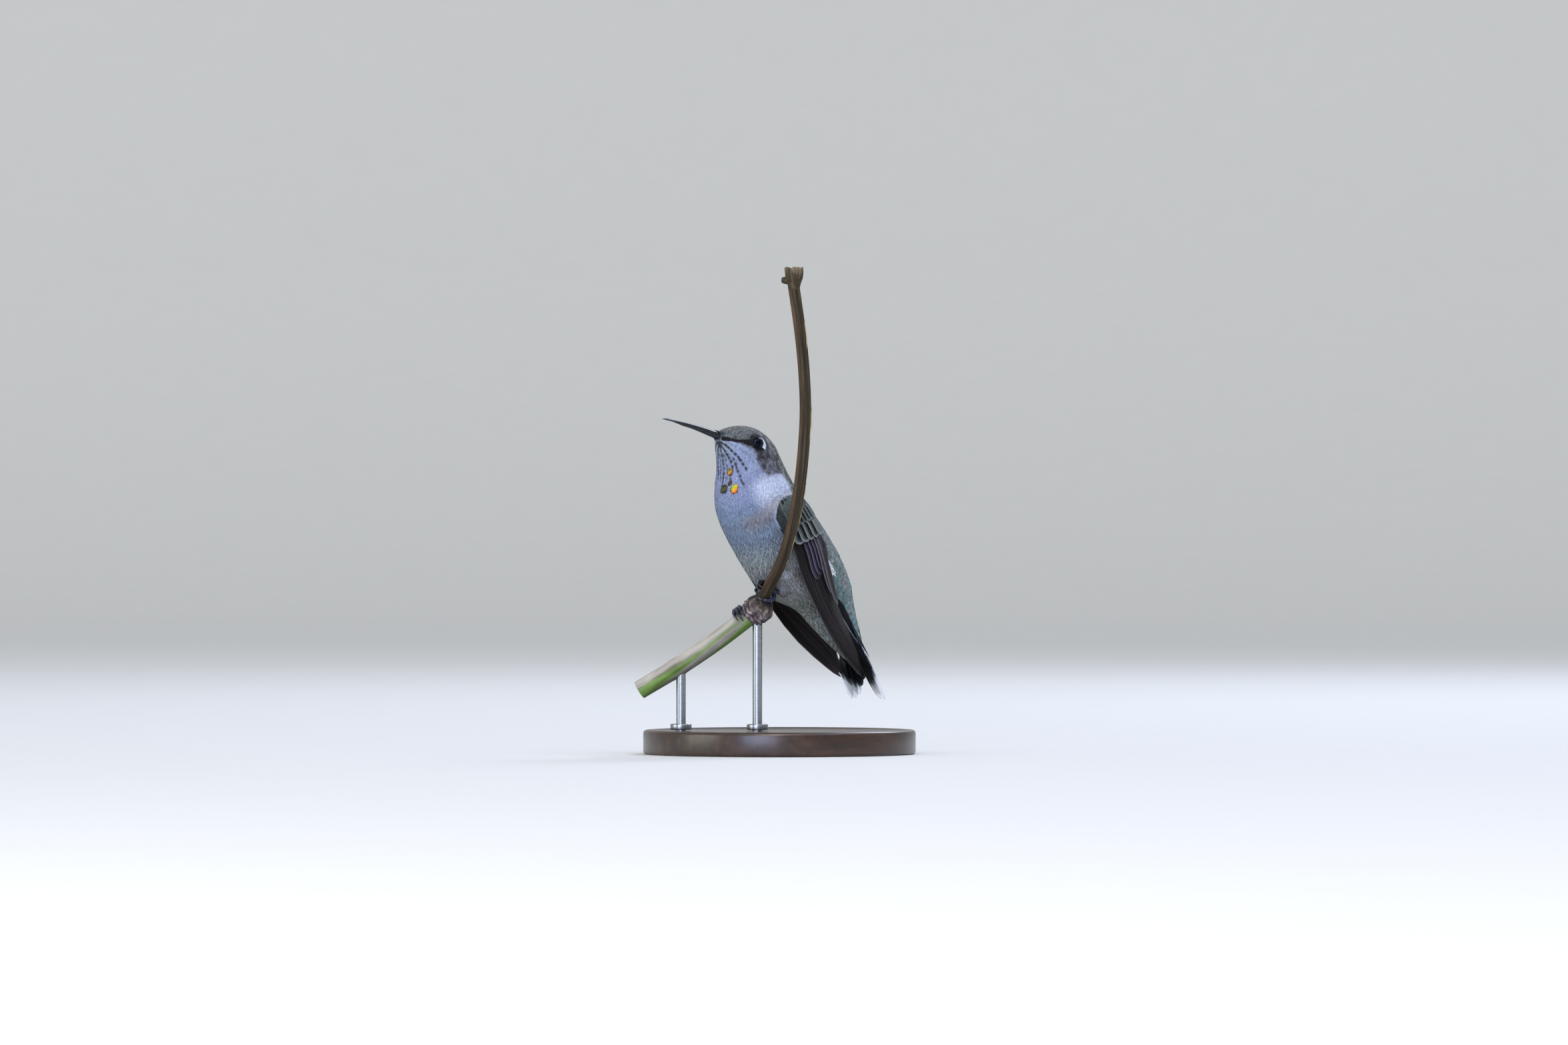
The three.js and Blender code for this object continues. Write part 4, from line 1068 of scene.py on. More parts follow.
        on_body = smooth(station, 6.2, 7.5)
        length = at(kind["length"]) * rng.uniform(0.85, 1.15, count)
        half = at(kind["half"]) * rng.uniform(0.85, 1.15, count)
        depth = at(SKIN_DEPTH) * 1.05
        loose = rng.uniform(0, 1, count) ** 4 * s.lift / MM * (0.3 + 0.7 * on_body)
        top = rng.uniform(-0.06, 0.0, count) * (0.4 + 0.6 * on_body) + loose
        fan = 0.34 * smooth(degrees_from_back(turn), 178, 150) * smooth(station, 3.6, 1.2)
        outwards = np.sign(np.sin(turn)) * (0.12 * smooth(station, 5, 8) - fan)
        lean = rng.normal(0, 0.07 if upper else 0.11, count) + (0 if upper else outwards)
        # No feather grows on the eye or reaches over it.
        root = body_point(station, turn)
        points = one_sided(root)
        room = np.linalg.norm(points - EYE["centre"] - EYE["outward"] * 0.95, axis=-1) - 1.18
        ahead = (points[:, 0] < EYE["centre"][0] + 0.3) & (room < length)
        length = np.where(ahead, np.minimum(length, np.maximum(room, 0.3)), length)
        # The longest coverts end where the body's form does.
        speed, _, _ = body_frame(station, turn)
        reach = (15.2 - station) * np.linalg.norm(speed, axis=-1)
        length = np.minimum(length, reach)
        centre, up, wide, dome, place_s, place_t = lay(
            station, turn, length, half, depth, top, lean, kind["widths"], kind["dome"]
        )
        # The marks stand where the tips show, so it is there that a feather counts as pale or dark.
        mine = is_upper(place_s[:, 3], place_t[:, 3]) > rng.uniform(0.2, 0.8, count)
        keep = np.flatnonzero((room > 0.08) & (length > 0.25) & (mine == upper))
        station, turn, centre, up, wide, dome = (x[keep] for x in (station, turn, centre, up, wide, dome))
        length, count, columns = length[keep], len(keep), np.array(kind["columns"])
        centre, kept = over_pad(centre)
        middle, edge = plumage(place_s[keep], place_t[keep], s)
        middle, edge = self.vary(rng, station, middle, edge, upper)
        if upper:
            rim = np.maximum(
                smooth(np.abs(columns), 0.45, 1.0)[None] * smooth(COAT_ROWS, 0.2, 0.7)[:, None],
                smooth(COAT_ROWS, 0.78, 1.0)[:, None],
            )
            rim = rim[None] * rng.uniform(0.35, 1.0, (count, 1, 1))
        else:
            rim = smooth(COAT_ROWS, 0.5, 1.0)[None, :, None]
        tint = middle[:, :, None] + (edge - middle)[:, :, None] * rim[..., None]
        # Each barb is a little lighter or darker than the next, and the hidden root is painted dusky: painted
        # shadow under the feathers that lie over it.
        barbs = 1 + rng.normal(0, 0.05 if upper else 0.035, (count, 1, len(columns), 1))
        painted_root_shadow = np.interp(COAT_ROWS, [0, 0.6, 0.86], [0.65, 0.85, 1.0] if upper else [0.92, 0.97, 1.0])
        tint = tint * barbs * painted_root_shadow[None, :, None, None]
        teeth = alternate(len(columns), -0.1, 0.05) * (0.6 if upper else 1.3)
        stagger = (teeth + rng.uniform(-0.05, 0.05, (count, len(columns)))) * length[:, None]
        return tuple(x[kept] for x in (station, turn, centre, up, wide, dome, tint, stagger))

    def vary(self, rng, station, middle, edge, upper):
        """Uneven wear and wet strands: some feathers are darker or paler than their neighbours."""
        count = len(station)
        shade = rng.normal(1, 0.06 if upper else 0.035, (count, 1, 1))
        draw = rng.uniform(0, 1, (count, 1, 1))
        if upper:
            dark = (draw < 0.22) * (1 - 0.6 * smooth(station, 7, 9))[:, None, None]
            edge_shade = rng.normal(1, 0.08, (count, 1, 1))
            return middle * shade * (1 - 0.4 * dark), edge * (1 - 0.5 * dark) * edge_shade
        body = smooth(station, 6.0, 7.4)[:, None, None]
        shade = shade * np.where(draw < 0.1, 1 - 0.2 * body, 1) * np.where(draw > 0.9, 1 + 0.1 * body, 1)
        return middle * shade, edge * shade

    def gorget(self, rng):
        """The first few iridescent scales of the adult throat, in small patches."""
        station, turn, tint = [], [], []
        for at, angle, long_, wide, *codes in GORGET:
            speed, round_, _ = body_frame(np.array([at]), np.array([math.radians(angle)]))
            for a in np.arange(-long_, long_, 0.17):
                row = wide * math.sqrt(1 - (a / long_) ** 2)
                for b in np.arange(-row, row + 0.1, 0.2) + rng.uniform(-0.05, 0.05):
                    station.append(at + (a - 0.25) / np.linalg.norm(speed))
                    turn.append(math.radians(angle) + b / np.linalg.norm(round_))
                    rim = smooth(math.hypot(a / long_, b / wide), 0.7, 1.05) * rng.uniform(0.3, 1.0)
                    shade = by_station(np.array([a / long_ + 0.25 * b / wide]), [-0.8, 0.1, 0.8], codes)[0]
                    tint.append(mix(shade * rng.uniform(0.75, 1.2), "#2b2420", rim))
        station, turn, tint = np.array(station), np.array(turn), np.array(tint)
        count = len(station)
        length, half = rng.uniform(0.48, 0.62, count), rng.uniform(0.13, 0.17, count)
        top, lean = rng.uniform(0.06, 0.11, count), rng.normal(0, 0.15, count)
        widths = [0.5, 0.9, 1.0, 0.85, 0.45]
        lines = lay(station, turn, length, half, np.full(count, 0.02), top, lean, widths, 0.15)[:4]
        columns = np.array(STRANDS["columns"])
        edges = np.maximum(smooth(np.abs(columns), 0.5, 1.2)[None], smooth(COAT_ROWS, 0.85, 1.2)[:, None])
        tint = tint[:, None, None] * (1 - 0.6 * edges)[None, ..., None]
        # Flat mirror-like barbules: a burnished gleam of orange.
        sockets = {"Roughness": 0.48, "Metallic": 0.25}
        material, *_ = mottled("iridescent_scale", sockets, (4000.0, 2.0), (0.6, 1.4))
        stagger = rng.uniform(-0.09, 0.03, (count, len(columns)))
        place = unwrapped(station, turn), PATCH
        piece = feathers("gorget_scales", *lines, columns, tint, place, stagger)
        finish_piece(piece, material)


# Rows of spots on the throat: places along each as station and turn in degrees, and how dark it is.
THROAT_ROWS = [
    (((0.1, 180), (5.6, 180)), 0.95),
    (((1.6, 170), (2.6, 167), (3.6, 168), (4.4, 171)), 0.6),
    (((0.1, 174), (1.0, 166), (1.5, 159), (2.1, 154), (2.8, 151), (3.5, 155), (4.5, 160)), 1.0),
    (((0.0, 162), (0.8, 143), (1.6, 135), (2.1, 131), (3.0, 128), (4.1, 122), (4.7, 120)), 1.0),
    (((2.4, 143), (3.2, 141), (3.8, 140), (4.3, 137), (4.9, 133), (5.6, 128)), 0.9),
    (((0.6, 127), (1.6, 115), (2.4, 111), (3.2, 108), (4.5, 105)), 0.3),
]
# The gorget's patches: station, turn in degrees, half length, half width, and colours of top, middle and end.
GORGET = [
    (3.42, -160.0, 0.6, 0.56, "#8f8a2e", "#cf9a1f", "#9a3f1f"),
    (5.2, -148.5, 0.82, 0.72, "#bccb2c", "#f2ad18", "#d0461a"),
    (4.9, -172.5, 0.8, 0.7, "#3c3b2c", "#5b5827", "#25221f"),
    (4.5, -159.0, 0.42, 0.36, "#5a4444", "#4a3638", "#38292c"),
    (4.7, 126.0, 0.5, 0.36, "#4a452c", "#5f5a2a", "#2f2b25"),
    (5.0, 131.0, 0.45, 0.4, "#6d6426", "#8d6a22", "#5a3320"),
]


# ---------------------------------------------------------------- wings and tail

# The right wing's sheet from wrist to tip, between its leading edge and its upper one, how far it bulges, and
# the half sizes of the pad over the folded arm, with how far its middle is sunk.
WING = {
    "leading": [
        [-8.6, 7.5, 50.6], [-6.0, 8.6, 43.8], [-3.2, 8.3, 37.3], [2.0, 6.8, 30.4], [8.2, 5.3, 22.3],
        [17.1, 3.2, 15.2],
    ],
    "upper": [
        [-2.3, 6.1, 51.8], [1.2, 7.8, 45.0], [3.1, 8.3, 38.5], [6.4, 6.9, 32.2], [13.0, 3.6, 25.4],
        [19.5, 2.7, 16.3],
    ],
    "bulge": 0.75,
    "pad": (5.3, 4.6, 2.7),
    "pad_sink": -1.1,
}
leading_line = curve(WING["leading"])
upper_line = curve(WING["upper"])


def wing_point(s, t):
    """Points of the right wing's sheet: s from wrist to tip and t from the leading edge to the upper one."""
    run = np.clip(s, 0, 1)
    low, high = leading_line(run), upper_line(run)
    point = low + (high - low) * np.asarray(t)[..., None]
    before = np.minimum(np.asarray(s, float), 0)[..., None]
    point = point + before * (leading_line(np.full_like(run, 0.05)) - leading_line(np.zeros_like(run))) / 0.05
    within = np.clip(t, 0, 1)
    point[..., 1] += WING["bulge"] * 4 * within * (1 - within) * (1 - 0.7 * run)
    return point


def wing_normal(s, t):
    step = 0.02
    s0 = np.minimum(s, 1 - step)
    along = wing_point(s0 + step, t) - wing_point(s0, t)
    across = wing_point(s, t + step) - wing_point(s, t - step)
    normal = unit(np.cross(along, across))
    return np.where(normal[..., 1:2] < 0, -normal, normal)


def wing_pad():
    """The low pad over the right wing's folded arm: its middle, its three axes and its half sizes."""
    one = np.array([0.06])
    normal = wing_normal(one, np.array([0.5]))[0]
    across = (wing_point(one, np.array([0.95])) - wing_point(one, np.array([0.05])))[0]
    across = unit(across - normal * (across @ normal))
    along = np.cross(across, normal)
    if along[2] > 0:
        along = -along
    middle = wing_point(np.array([0.05]), np.array([0.48]))[0] + normal * WING["pad_sink"]
    return middle, np.array([across, along, normal]), np.array(WING["pad"])


def over_pad(centre):
    """Lays the breast's feathers over the wings' pads, and tells which of them aren't buried there."""
    middle, axes, size = wing_pad()
    share = ((one_sided(centre) - middle) @ axes.T) / size
    depth = np.linalg.norm(share, axis=-1)
    raised = middle + (share / np.maximum(depth, 1e-6)[..., None] * (size + 0.12)) @ axes
    raised[..., 1] *= np.where(centre[..., 1] < 0, -1, 1)
    kept = ~((depth[:, 0] < 0.9) | ((depth < 0.75).any(1)))
    return np.where((depth < 1)[..., None], raised, centre), kept


# Rows of the wing: name, how many, roots and tips of the outermost and the innermost on the sheet, how the
# tips gather, how the line turns, width, height above the sheet and its step from feather to feather. Last
# the colours of the inner web, the outer web and the edge, and how far across the outer web's colour reaches.
WING_ROWS = [
    (
        "primaries", 10, [[0.1, 0.08], [0.12, 0.72]], [[1.0, 0.4], [0.925, 0.97]], 0.42, 2.0, 2.3, 0.0, 0.075,
        "#151211", "#1a171a", "#675b61", -0.8,
    ),
    (
        "secondaries", 5, [[0.14, 0.38], [0.14, 0.87]], [[0.45, 0.44], [0.36, 0.93]], 1, 0.8, 2.5, 0.72, 0.07,
        "#08080c", "#3f3b4c", "#675f72", -0.52,
    ),
    (
        "tertials", 2, [[0.06, 0.68], [0.06, 0.8]], [[0.55, 0.76], [0.63, 0.87]], 1, 0.8, 1.8, 1.12, 0.1,
        "#1e1b1f", "#453f46", "#9b8f94", -0.3,
    ),
    (
        "greater_coverts", 5, [[0.02, 0.12], [0.02, 0.84]], [[0.22, 0.14], [0.2, 0.92]], 1, 0.8, 2.9, 1.15,
        0.05, "#0a0c0e", "#616b68", "#9aa29f", -0.5,
    ),
    (
        "median_coverts", 7, [[-0.04, 0.08], [-0.04, 0.88]], [[0.12, 0.08], [0.11, 0.94]], 1, 0.8, 2.0, 1.45,
        0.02, "#101415", "#545e5b", "#8d9793", -0.5,
    ),
]
FLIGHT_ROWS = np.array([0, 0.08, 0.18, 0.3, 0.42, 0.54, 0.66, 0.76, 0.85, 0.92, 0.965, 1.0])
FLIGHT_COLUMNS = np.array([-1, -0.94, -0.84, -0.7, -0.5, -0.25, -0.04, 0.04, 0.35, 0.7, 0.9, 1])
FRAY = smooth(np.abs(FLIGHT_COLUMNS), 0.9, 0.25)  # a vane's end is uneven in its middle alone


def flight_width(v, round_from=0.7, least=0.06):
    """The half width of a vane along its length: narrow at the quill, then even, then rounded to the tip."""
    quill = 0.45 + 0.55 * np.minimum(1, v / 0.25)
    end = np.maximum(v - round_from, 0) / (1 - round_from)
    return np.maximum(quill * np.sqrt(np.maximum(0, 1 - end**2.4)), least)


def barbed_tint(count, inner, outer, edge, web, rng, tip, strength):
    """A vane's colours: dark inner web with a brown edge, lighter outer web with a pale one, dark shaft."""
    c, v = FLIGHT_COLUMNS, FLIGHT_ROWS
    tint = np.tile(np.array(linear(inner)), (count, len(v), len(c), 1))
    tint = mix(tint, outer, smooth(c - np.reshape(web, (-1, 1)), 0.15, -0.15)[:, None])
    rim = smooth(c, -0.84, -0.94)[None, :] * smooth(v, 0.1, 0.4)[:, None]
    rim = np.maximum(rim, smooth(v, 0.9, 1.0)[:, None] * tip)
    tint = mix(tint, edge, rim * strength[:, None, None])
    tint = mix(tint, "#3d3631", smooth(c, 0.75, 0.95) * strength[:, None, None])
    shaft = smooth(np.abs(c), 0.1, 0.04)[None, None, :, None]
    tint = tint * (1 - 0.35 * shaft) * (1 + rng.normal(0, 0.05, (count, 1, len(c), 1)))
    return tint * rng.normal(1, 0.08, (count, 1, 1, 1))


def wing_feathers(row, rng):
    """Centre lines, normals, half widths and domes of one row of the right wing."""
    name, count, roots, tips, gather, turn, width, base, step = row[:9]
    inward = np.arange(count) / (count - 1)
    r = np.array(roots[0]) + (np.array(roots[1]) - roots[0]) * inward[:, None]
    tip_s = tips[0][0] + (tips[1][0] - tips[0][0]) * inward
    tip_t = tips[0][1] + (tips[1][1] - tips[0][1]) * inward**gather
    v = FLIGHT_ROWS[None]
    s = r[:, :1] + (tip_s[:, None] - r[:, :1]) * v
    t = r[:, 1:] + (tip_t[:, None] - r[:, 1:]) * v**turn
    t = t + rng.normal(0, 0.006, (count, 1)) * v
    height = base + step * np.arange(count)[:, None]
    if name == "primaries":
        lift = height * (1 - 0.6 * v)
    else:
        lift = height * (0.35 + 0.65 * np.minimum(1, v / 0.5))
    up = wing_normal(s, t)
    centre = wing_point(s, t) + up * (lift + 0.12)[..., None]
    # Each vane is tilted, with its outer edge above the inner web of the next.
    up = unit(up + 0.055 * unit(wing_point(s, t + 0.02) - wing_point(s, t - 0.02)))
    shape = flight_width(v, 0.8, 0.3) if name.endswith("coverts") else flight_width(v)
    half = width / 2 * shape * rng.uniform(0.96, 1.04, (count, 1))
    return centre, up, half, 0.02 + half * 0.015


def mirrored(points):
    return points * np.array([1, -1, 1])


def islands(count):
    """Middles and sizes of maps where each feather has a strip of its own."""
    middle = np.stack([(np.arange(count) + 0.5) / count, np.full(count, 0.5)], -1)
    return middle, (0.9 / count, 0.96)


class HUMMINGBIRD_OT_wings(bpy.types.Operator):
    """Makes both folded wings, row by row"""

    bl_idname = "hummingbird.make_wings"
    bl_label = "Make Wings"

    def execute(self, context):
        flight = feather_material("flight_feather", 0.5, 0.0, 420.0, 60.0, 0.05, 0.004)
        soft = feather_material("covert_feather", 0.6, 0.04, 150.0, 46.0, 0.05, 0.006)
        for name, sign in SIDES:
            rng = np.random.default_rng(21 + sign)
            for number, row in enumerate(WING_ROWS):
                covert = row[0].endswith("coverts")
                centre, up, half, dome = wing_feathers(row, rng)
                count = len(centre)
                strength = rng.uniform(0.7, 1.0, count)
                if number == 0:
                    strength *= np.where(np.isin(np.arange(count), (0, 3, 5, 8)), 1, 0.25)
                    strength[1:] *= 0.55 if sign < 0 else 1.0
                # Nothing covers the inner web of a row's last covert, so it is as pale as the outer one.
                *codes, web = row[9:]
                web = np.where((np.arange(count) == count - 1) & covert, 1.3, web)
                tint = barbed_tint(count, *codes, web, rng, 0.75 if covert else 0.25, strength)
                # The outer web lies towards the leading edge, at low columns on the right wing alone.
                columns = FLIGHT_COLUMNS
                if sign < 0:
                    centre, up = mirrored(centre), mirrored(up)
                    tint, columns = tint[:, :, ::-1], -columns[::-1]
                teeth = alternate(len(columns), -0.05, 0.04) + rng.uniform(-0.05, 0.05, (count, len(columns)))
                vane = centre, up, half, dome, columns, tint, islands(count), teeth * FRAY
                # The undersides are painted 1.9 times paler: painted light that lifts them out of their
                # shade.
                piece = feathers(f"{row[0]}_{name}", *vane, full=True, below=1.9)
                nodes = [f"wing_{name}"] if number == 0 else []
                finish_piece(piece, soft if covert else flight, nodes)
            self.shoulder(context, name, sign, soft, rng)
        self.flank_tuft()
        return {"FINISHED"}

    def flank_tuft(self):
        """The white tuft that shows over each wing, beside the rump."""
        for name, side in SIDES:
            rng = np.random.default_rng(61)
            count = 54
            station = 9.95 + rng.uniform(-0.2, 0.25, count)
            turn = side * np.radians(76 + rng.uniform(-3.2, 3.2, count))
            length, half = rng.uniform(1.5, 2.2, count), rng.uniform(0.14, 0.2, count)
            top, lean = rng.uniform(0.4, 1.0, count), rng.normal(0, 0.1, count)
            shade = rng.normal(0.95, 0.07, (count, 1, 1, 1))
            lie = station, turn, length, half, np.full(count, 0.2), top, lean
            tuft(f"flank_tuft_{name}", "plumage_belly", *lie, "#f0f3fa", shade)

    def shoulder(self, context, name, sign, material, rng):
        """The small coverts over the folded arm, on a low pad at the bend of the wing."""
        s = context.scene.hummingbird_plumage
        middle, axes, size = wing_pad()
        turn = circle(40)
        slices = np.linspace(-0.98, 0.98, 24)[:, None]
        round_ = np.sqrt(1 - slices**2)
        shares = np.stack([np.cos(turn) * round_, slices + 0 * turn, np.sin(turn) * round_], -1)
        rings = middle + (shares * (size - 0.35)) @ axes
        if sign < 0:
            rings = mirrored(rings)
        tint = np.tile(np.array(s.mantle) * 0.8, (24, 40, 1))
        core = lofted(f"shoulder_{name}", (rings + OFFSET) * MM, tint=tint)
        finish_piece(core, bpy.data.materials["down_over_skin"])
        # Scales in staggered rows from the bend of the wing to the next row of coverts.
        a0, b0 = [], []
        for number, b in enumerate(np.arange(-0.98, 0.9, 0.065)):
            half_row = math.sqrt(max(0.02, 1 - b * b)) * 0.98
            count = max(3, int(half_row * size[0] * 2 / 0.4))
            across = np.linspace(-half_row, half_row, count) + (number % 2 - 0.5) * 0.2 / size[0]
            a0.append(across + rng.uniform(-0.02, 0.02, count))
            b0.append(np.full(count, b) + rng.uniform(-0.02, 0.02, count))
        a0, b0 = np.clip(np.concatenate(a0), -0.985, 0.985), np.concatenate(b0)
        count = len(a0)
        length = rng.uniform(1.1, 1.4, count) * (1 - 0.35 * np.abs(a0) ** 3)
        v = COAT_ROWS[None]
        b = b0[:, None] + length[:, None] * v / size[1]
        a = a0[:, None] * (1 - 0.06 * v)
        over = np.sqrt(a**2 + b**2)
        squeeze = np.where(over > 0.985, 0.985 / over, 1)
        share = np.stack([a * squeeze, b * squeeze, np.sqrt(np.clip(1 - (over * squeeze) ** 2, 0, 1))], -1)
        up = unit((share / size) @ axes)
        point = middle + (share * size) @ axes + up * (-0.25 + 0.33 * v**0.8)[..., None]
        point = point + axes[1] * (np.maximum(b - b * squeeze, 0) * size[1])[..., None]
        front = smooth(a0, -0.68, -0.92)[:, None]
        middle_tint = mix(np.array(s.mantle) * rng.normal(1, 0.12, (count, 1)), "#1a2024", front[:, 0])
        edge_tint = mix(np.tile(np.array(linear("#7f8a85")), (count, 1)), "#4c565b", front[:, 0])
        edges = np.maximum(smooth(np.abs(COAT_COLUMNS), 0.5, 1.0)[None], smooth(COAT_ROWS, 0.8, 1.0)[:, None])
        edges = edges[None] * rng.uniform(0.3, 0.9, (count, 1, 1))
        tint = middle_tint[:, None, None] + (edge_tint - middle_tint)[:, None, None] * edges[..., None]
        half = 0.31 * np.array(SCALES["widths"])[None]
        if sign < 0:
            point, up = mirrored(point), mirrored(up)
        station, angle = 7.6 + 1.2 * b0, sign * (1.35 - 0.25 * a0)
        stagger = (alternate(7, -0.08, 0.04) + rng.uniform(-0.05, 0.05, (count, 7))) * length[:, None]
        place = unwrapped(station, angle), PATCH
        lines = point, up, half, half * 0.1 + 0.012
        piece = feathers(f"small_coverts_{name}", *lines, COAT_COLUMNS, tint, place, stagger)
        finish_piece(piece, material)


TAIL = {
    "root": np.array([12.9, 0, 31.5]),
    "slope": math.radians(62),
    "lengths": [18.9, 20.3, 22.0, 22.8, 22.8],
    "tip_offsets": {-1: [0.95, 1.8, 2.4, 3.05, 4.75], 1: [1.1, 2.2, 3.35, 4.4, 5.35]},  # left, right half
    "root_offsets": [0.45, 0.95, 1.5, 2.0, 2.5],
    "half_widths": [1.7, 1.7, 1.6, 1.55, 1.4],
    "lift": 0.36,
    "bow": {-1: 0.0, 1: 0.3},  # the right half's feathers bow outward
    "white": [0.0, 0.0, 0.08, 0.17, 0.22],  # the share of each pair that is white at the tip
}


class HUMMINGBIRD_OT_tail(bpy.types.Operator):
    """Makes the ten tail feathers"""

    bl_idname = "hummingbird.make_tail"
    bl_label = "Make Tail"

    def execute(self, context):
        rng = np.random.default_rng(5)
        axis = np.array([math.cos(TAIL["slope"]), 0, -math.sin(TAIL["slope"])])
        up = np.array([math.sin(TAIL["slope"]), 0, math.cos(TAIL["slope"])])
        v = np.r_[0, 0.1, 0.22, 0.35, 0.48, 0.6, 0.66, np.arange(0.7, 0.89, 0.03), 0.92, 0.955, 0.98, 1.0]
        c = FLIGHT_COLUMNS
        centres, ups, halves, tints, staggers = [], [], [], [], []
        for pair in range(4, -1, -1):
            for side in (-1, 1):
                aside = TAIL["root_offsets"][pair]
                aside = aside + (TAIL["tip_offsets"][side][pair] - aside) * v**1.4
                aside = aside * (1 + TAIL["bow"][side] * np.sin(math.pi * v) ** 2)
                rise = (2 - pair) * TAIL["lift"] * (0.55 + 0.45 * v)
                line = TAIL["root"] + axis * (TAIL["lengths"][pair] * v)[:, None] + up * rise[:, None]
                line[:, 1] = side * aside
                tops = np.tile(unit(up + np.array([0, side * 0.08, 0])), (len(v), 1))
                if pair > 2:
                    # The outer feathers' bases lie along the sides of the coverts, undersides outward.
                    place = np.interp(v, [0, 0.62], [11.4, 15.2])
                    degrees = [104, 97, 84] if pair == 4 else [88, 80, 68]
                    angle = side * np.radians(np.interp(v, [0, 0.3, 0.6], degrees))
                    _, _, outward = body_frame(place, angle)
                    free = smooth(v, 0.4, 0.76)[:, None]
                    off = 0.05 + 0.3 * smooth(v, 0.0, 0.1) - 0.12 * (pair == 3)
                    line = (body_point(place, angle) + outward * off[:, None]) * (1 - free) + line * free
                    tops = unit(tops * free - outward * (1 - free))
                centres.append(line)
                ups.append(tops)
                halves.append(TAIL["half_widths"][pair] * flight_width(v, 0.76, 0.16))
                outer = -side * c  # 1 at the edge away from the middle pair
                tint = np.tile(np.array(linear("#07080a")), (len(v), len(c), 1))
                tint = mix(tint, "#0e1014", smooth(outer, -0.2, 0.5)[None])
                tint = mix(tint, "#2f4644", smooth(v, 0.5, 0.3)[:, None] * (0.7 if pair < 2 else 0))
                white = TAIL["white"][pair]
                if white:
                    edge = 1 - white * (0.85 + 0.35 * outer) + 0.02 * np.sin(7 * c + pair)
                    tint = mix(tint, "#6c7478", smooth(v[:, None], edge - 0.07, edge - 0.03) * 0.6)
                    tint = mix(tint, "#fdfeff", smooth(v[:, None], edge - 0.02, edge + 0.015))
                if pair == 4:
                    rim = smooth(outer, 0.8, 0.95) * span(v, 0.02, 0.1, 0.56, 0.72)[:, None]
                    tint = mix(tint, "#9aa1a8", rim * 0.85)
                tints.append(tint * rng.normal(1, 0.04))
                uneven = alternate(len(c), -0.12, 0.1) + rng.uniform(-0.06, 0.06, len(c))
                staggers.append(uneven * FRAY)
        centre, tops, half, tint, stagger = (np.array(x) for x in (centres, ups, halves, tints, staggers))
        # The thin white tips let light through from the far side.
        thin = {"Subsurface Weight": 0.8, "Subsurface Radius": (1.0, 1.0, 1.0), "Subsurface Scale": 0.6 * MM}
        thin["Specular IOR Level"] = 0.1
        material = feather_material("tail_feather", 0.62, 0.0, 360.0, 60.0, 0.05, 0.004, **thin)
        vane = centre, tops, half, half * 0.05, c, tint, islands(10), stagger
        piece = feathers("tail_feathers", *vane, full=True)
        finish_piece(piece, material, ["tail"])
        return {"FINISHED"}


# ---------------------------------------------------------------- head, feet, vine and stand

BILL = {
    "base": np.array([-18.6, 0, 65.25]),
    "tip": np.array([-33.9, 0, 68.65]),
    "bow": 0.3,
    "socket": 2.0,
    "half_height": 0.86,
    "half_width": 0.92,
    "lower_ends": 0.84,
}


class HUMMINGBIRD_OT_bill(bpy.types.Operator):
    """Makes the two mandibles of the bill"""

    bl_idname = "hummingbird.make_bill"
    bl_label = "Make Bill"

    def execute(self, context):
        s = context.scene.hummingbird_head
        base, tip = BILL["base"], BILL["tip"]
        back = unit(base - tip)
        middle = (base + tip) / 2 + np.array([0, 0, BILL["bow"]])
        path = curve([base + back * BILL["socket"], base, middle, tip])
        # Horn: a thin keratin sheath, satin black, that mirrors the sky along its ridge.
        ramp = [(0.3, times(s.bill, 0.75)), (0.75, times(s.bill, 1.6, 0.004))]
        look = {"bump": (0.02, 0.4), "grain": (26.0, 7.0, 1.0), "mapped": True}
        material, *_ = mottled("bill_horn", {"Roughness": 0.27, "IOR": 1.54}, (1.0, 4.0), ramp, **look)
        for name, first, last, end in (("upper", -98, 98, 1.0), ("lower", 104, 256, BILL["lower_ends"])):
            count = 60
            share = np.linspace(0, end, count)
            points = even(path, count, 0, end)
            along = unit(np.gradient(points, axis=0))
            up = np.stack([-along[:, 2], along[:, 1], along[:, 0]], -1)
            up = up * np.where(up[:, 2:] < 0, -1, 1)
            thick = np.maximum((share - 0.1) / 0.9, 0)
            size = np.interp(thick, [0, 0.5, 0.92, 1.0], [1, 0.58, 0.42, 0.14])
            if end < 1:
                size = size * np.interp(share, [0, end - 0.16, end], [1, 0.96, 0.25])
            arc = np.radians(np.linspace(first, last, 25))
            height = np.cos(arc) * BILL["half_height"]
            # A low ridge along the culmen.
            if end == 1:
                height = height + 0.07 * bell(arc, 0, 0.3)
            ring = points[:, None] + up[:, None] * height[None, :, None] * size[:, None, None]
            ring[:, :, 1] += np.sin(arc) * BILL["half_width"] * size[:, None]
            piece = lofted(f"bill_{name}_horn", (ring + OFFSET) * MM)
            finish_piece(piece, material, [f"bill_{name}"])
        # The flap over each nostril, at the bill's base.
        slope = math.atan2(back[2], back[0])
        c, n = math.cos(slope), math.sin(slope)
        tilt = np.array([[c, 0, n], [0, 1, 0], [-n, 0, c]])
        for name, side in SIDES:
            alone()
            place = base - back * 1.9 + np.array([0, side * 0.7, 0.36])
            bpy.ops.mesh.primitive_uv_sphere_add(segments=20, ring_count=10, radius=1)
            flap = named(f"nostril_{name}")
            co = np.array([v.co for v in flap.data.vertices]) * [0.95, 0.16, 0.2] @ tilt
            flap.data.vertices.foreach_set("co", ((co + place + OFFSET) * MM).ravel())
            bpy.ops.object.shade_smooth()
            finish_piece(flap, material)
        return {"FINISHED"}


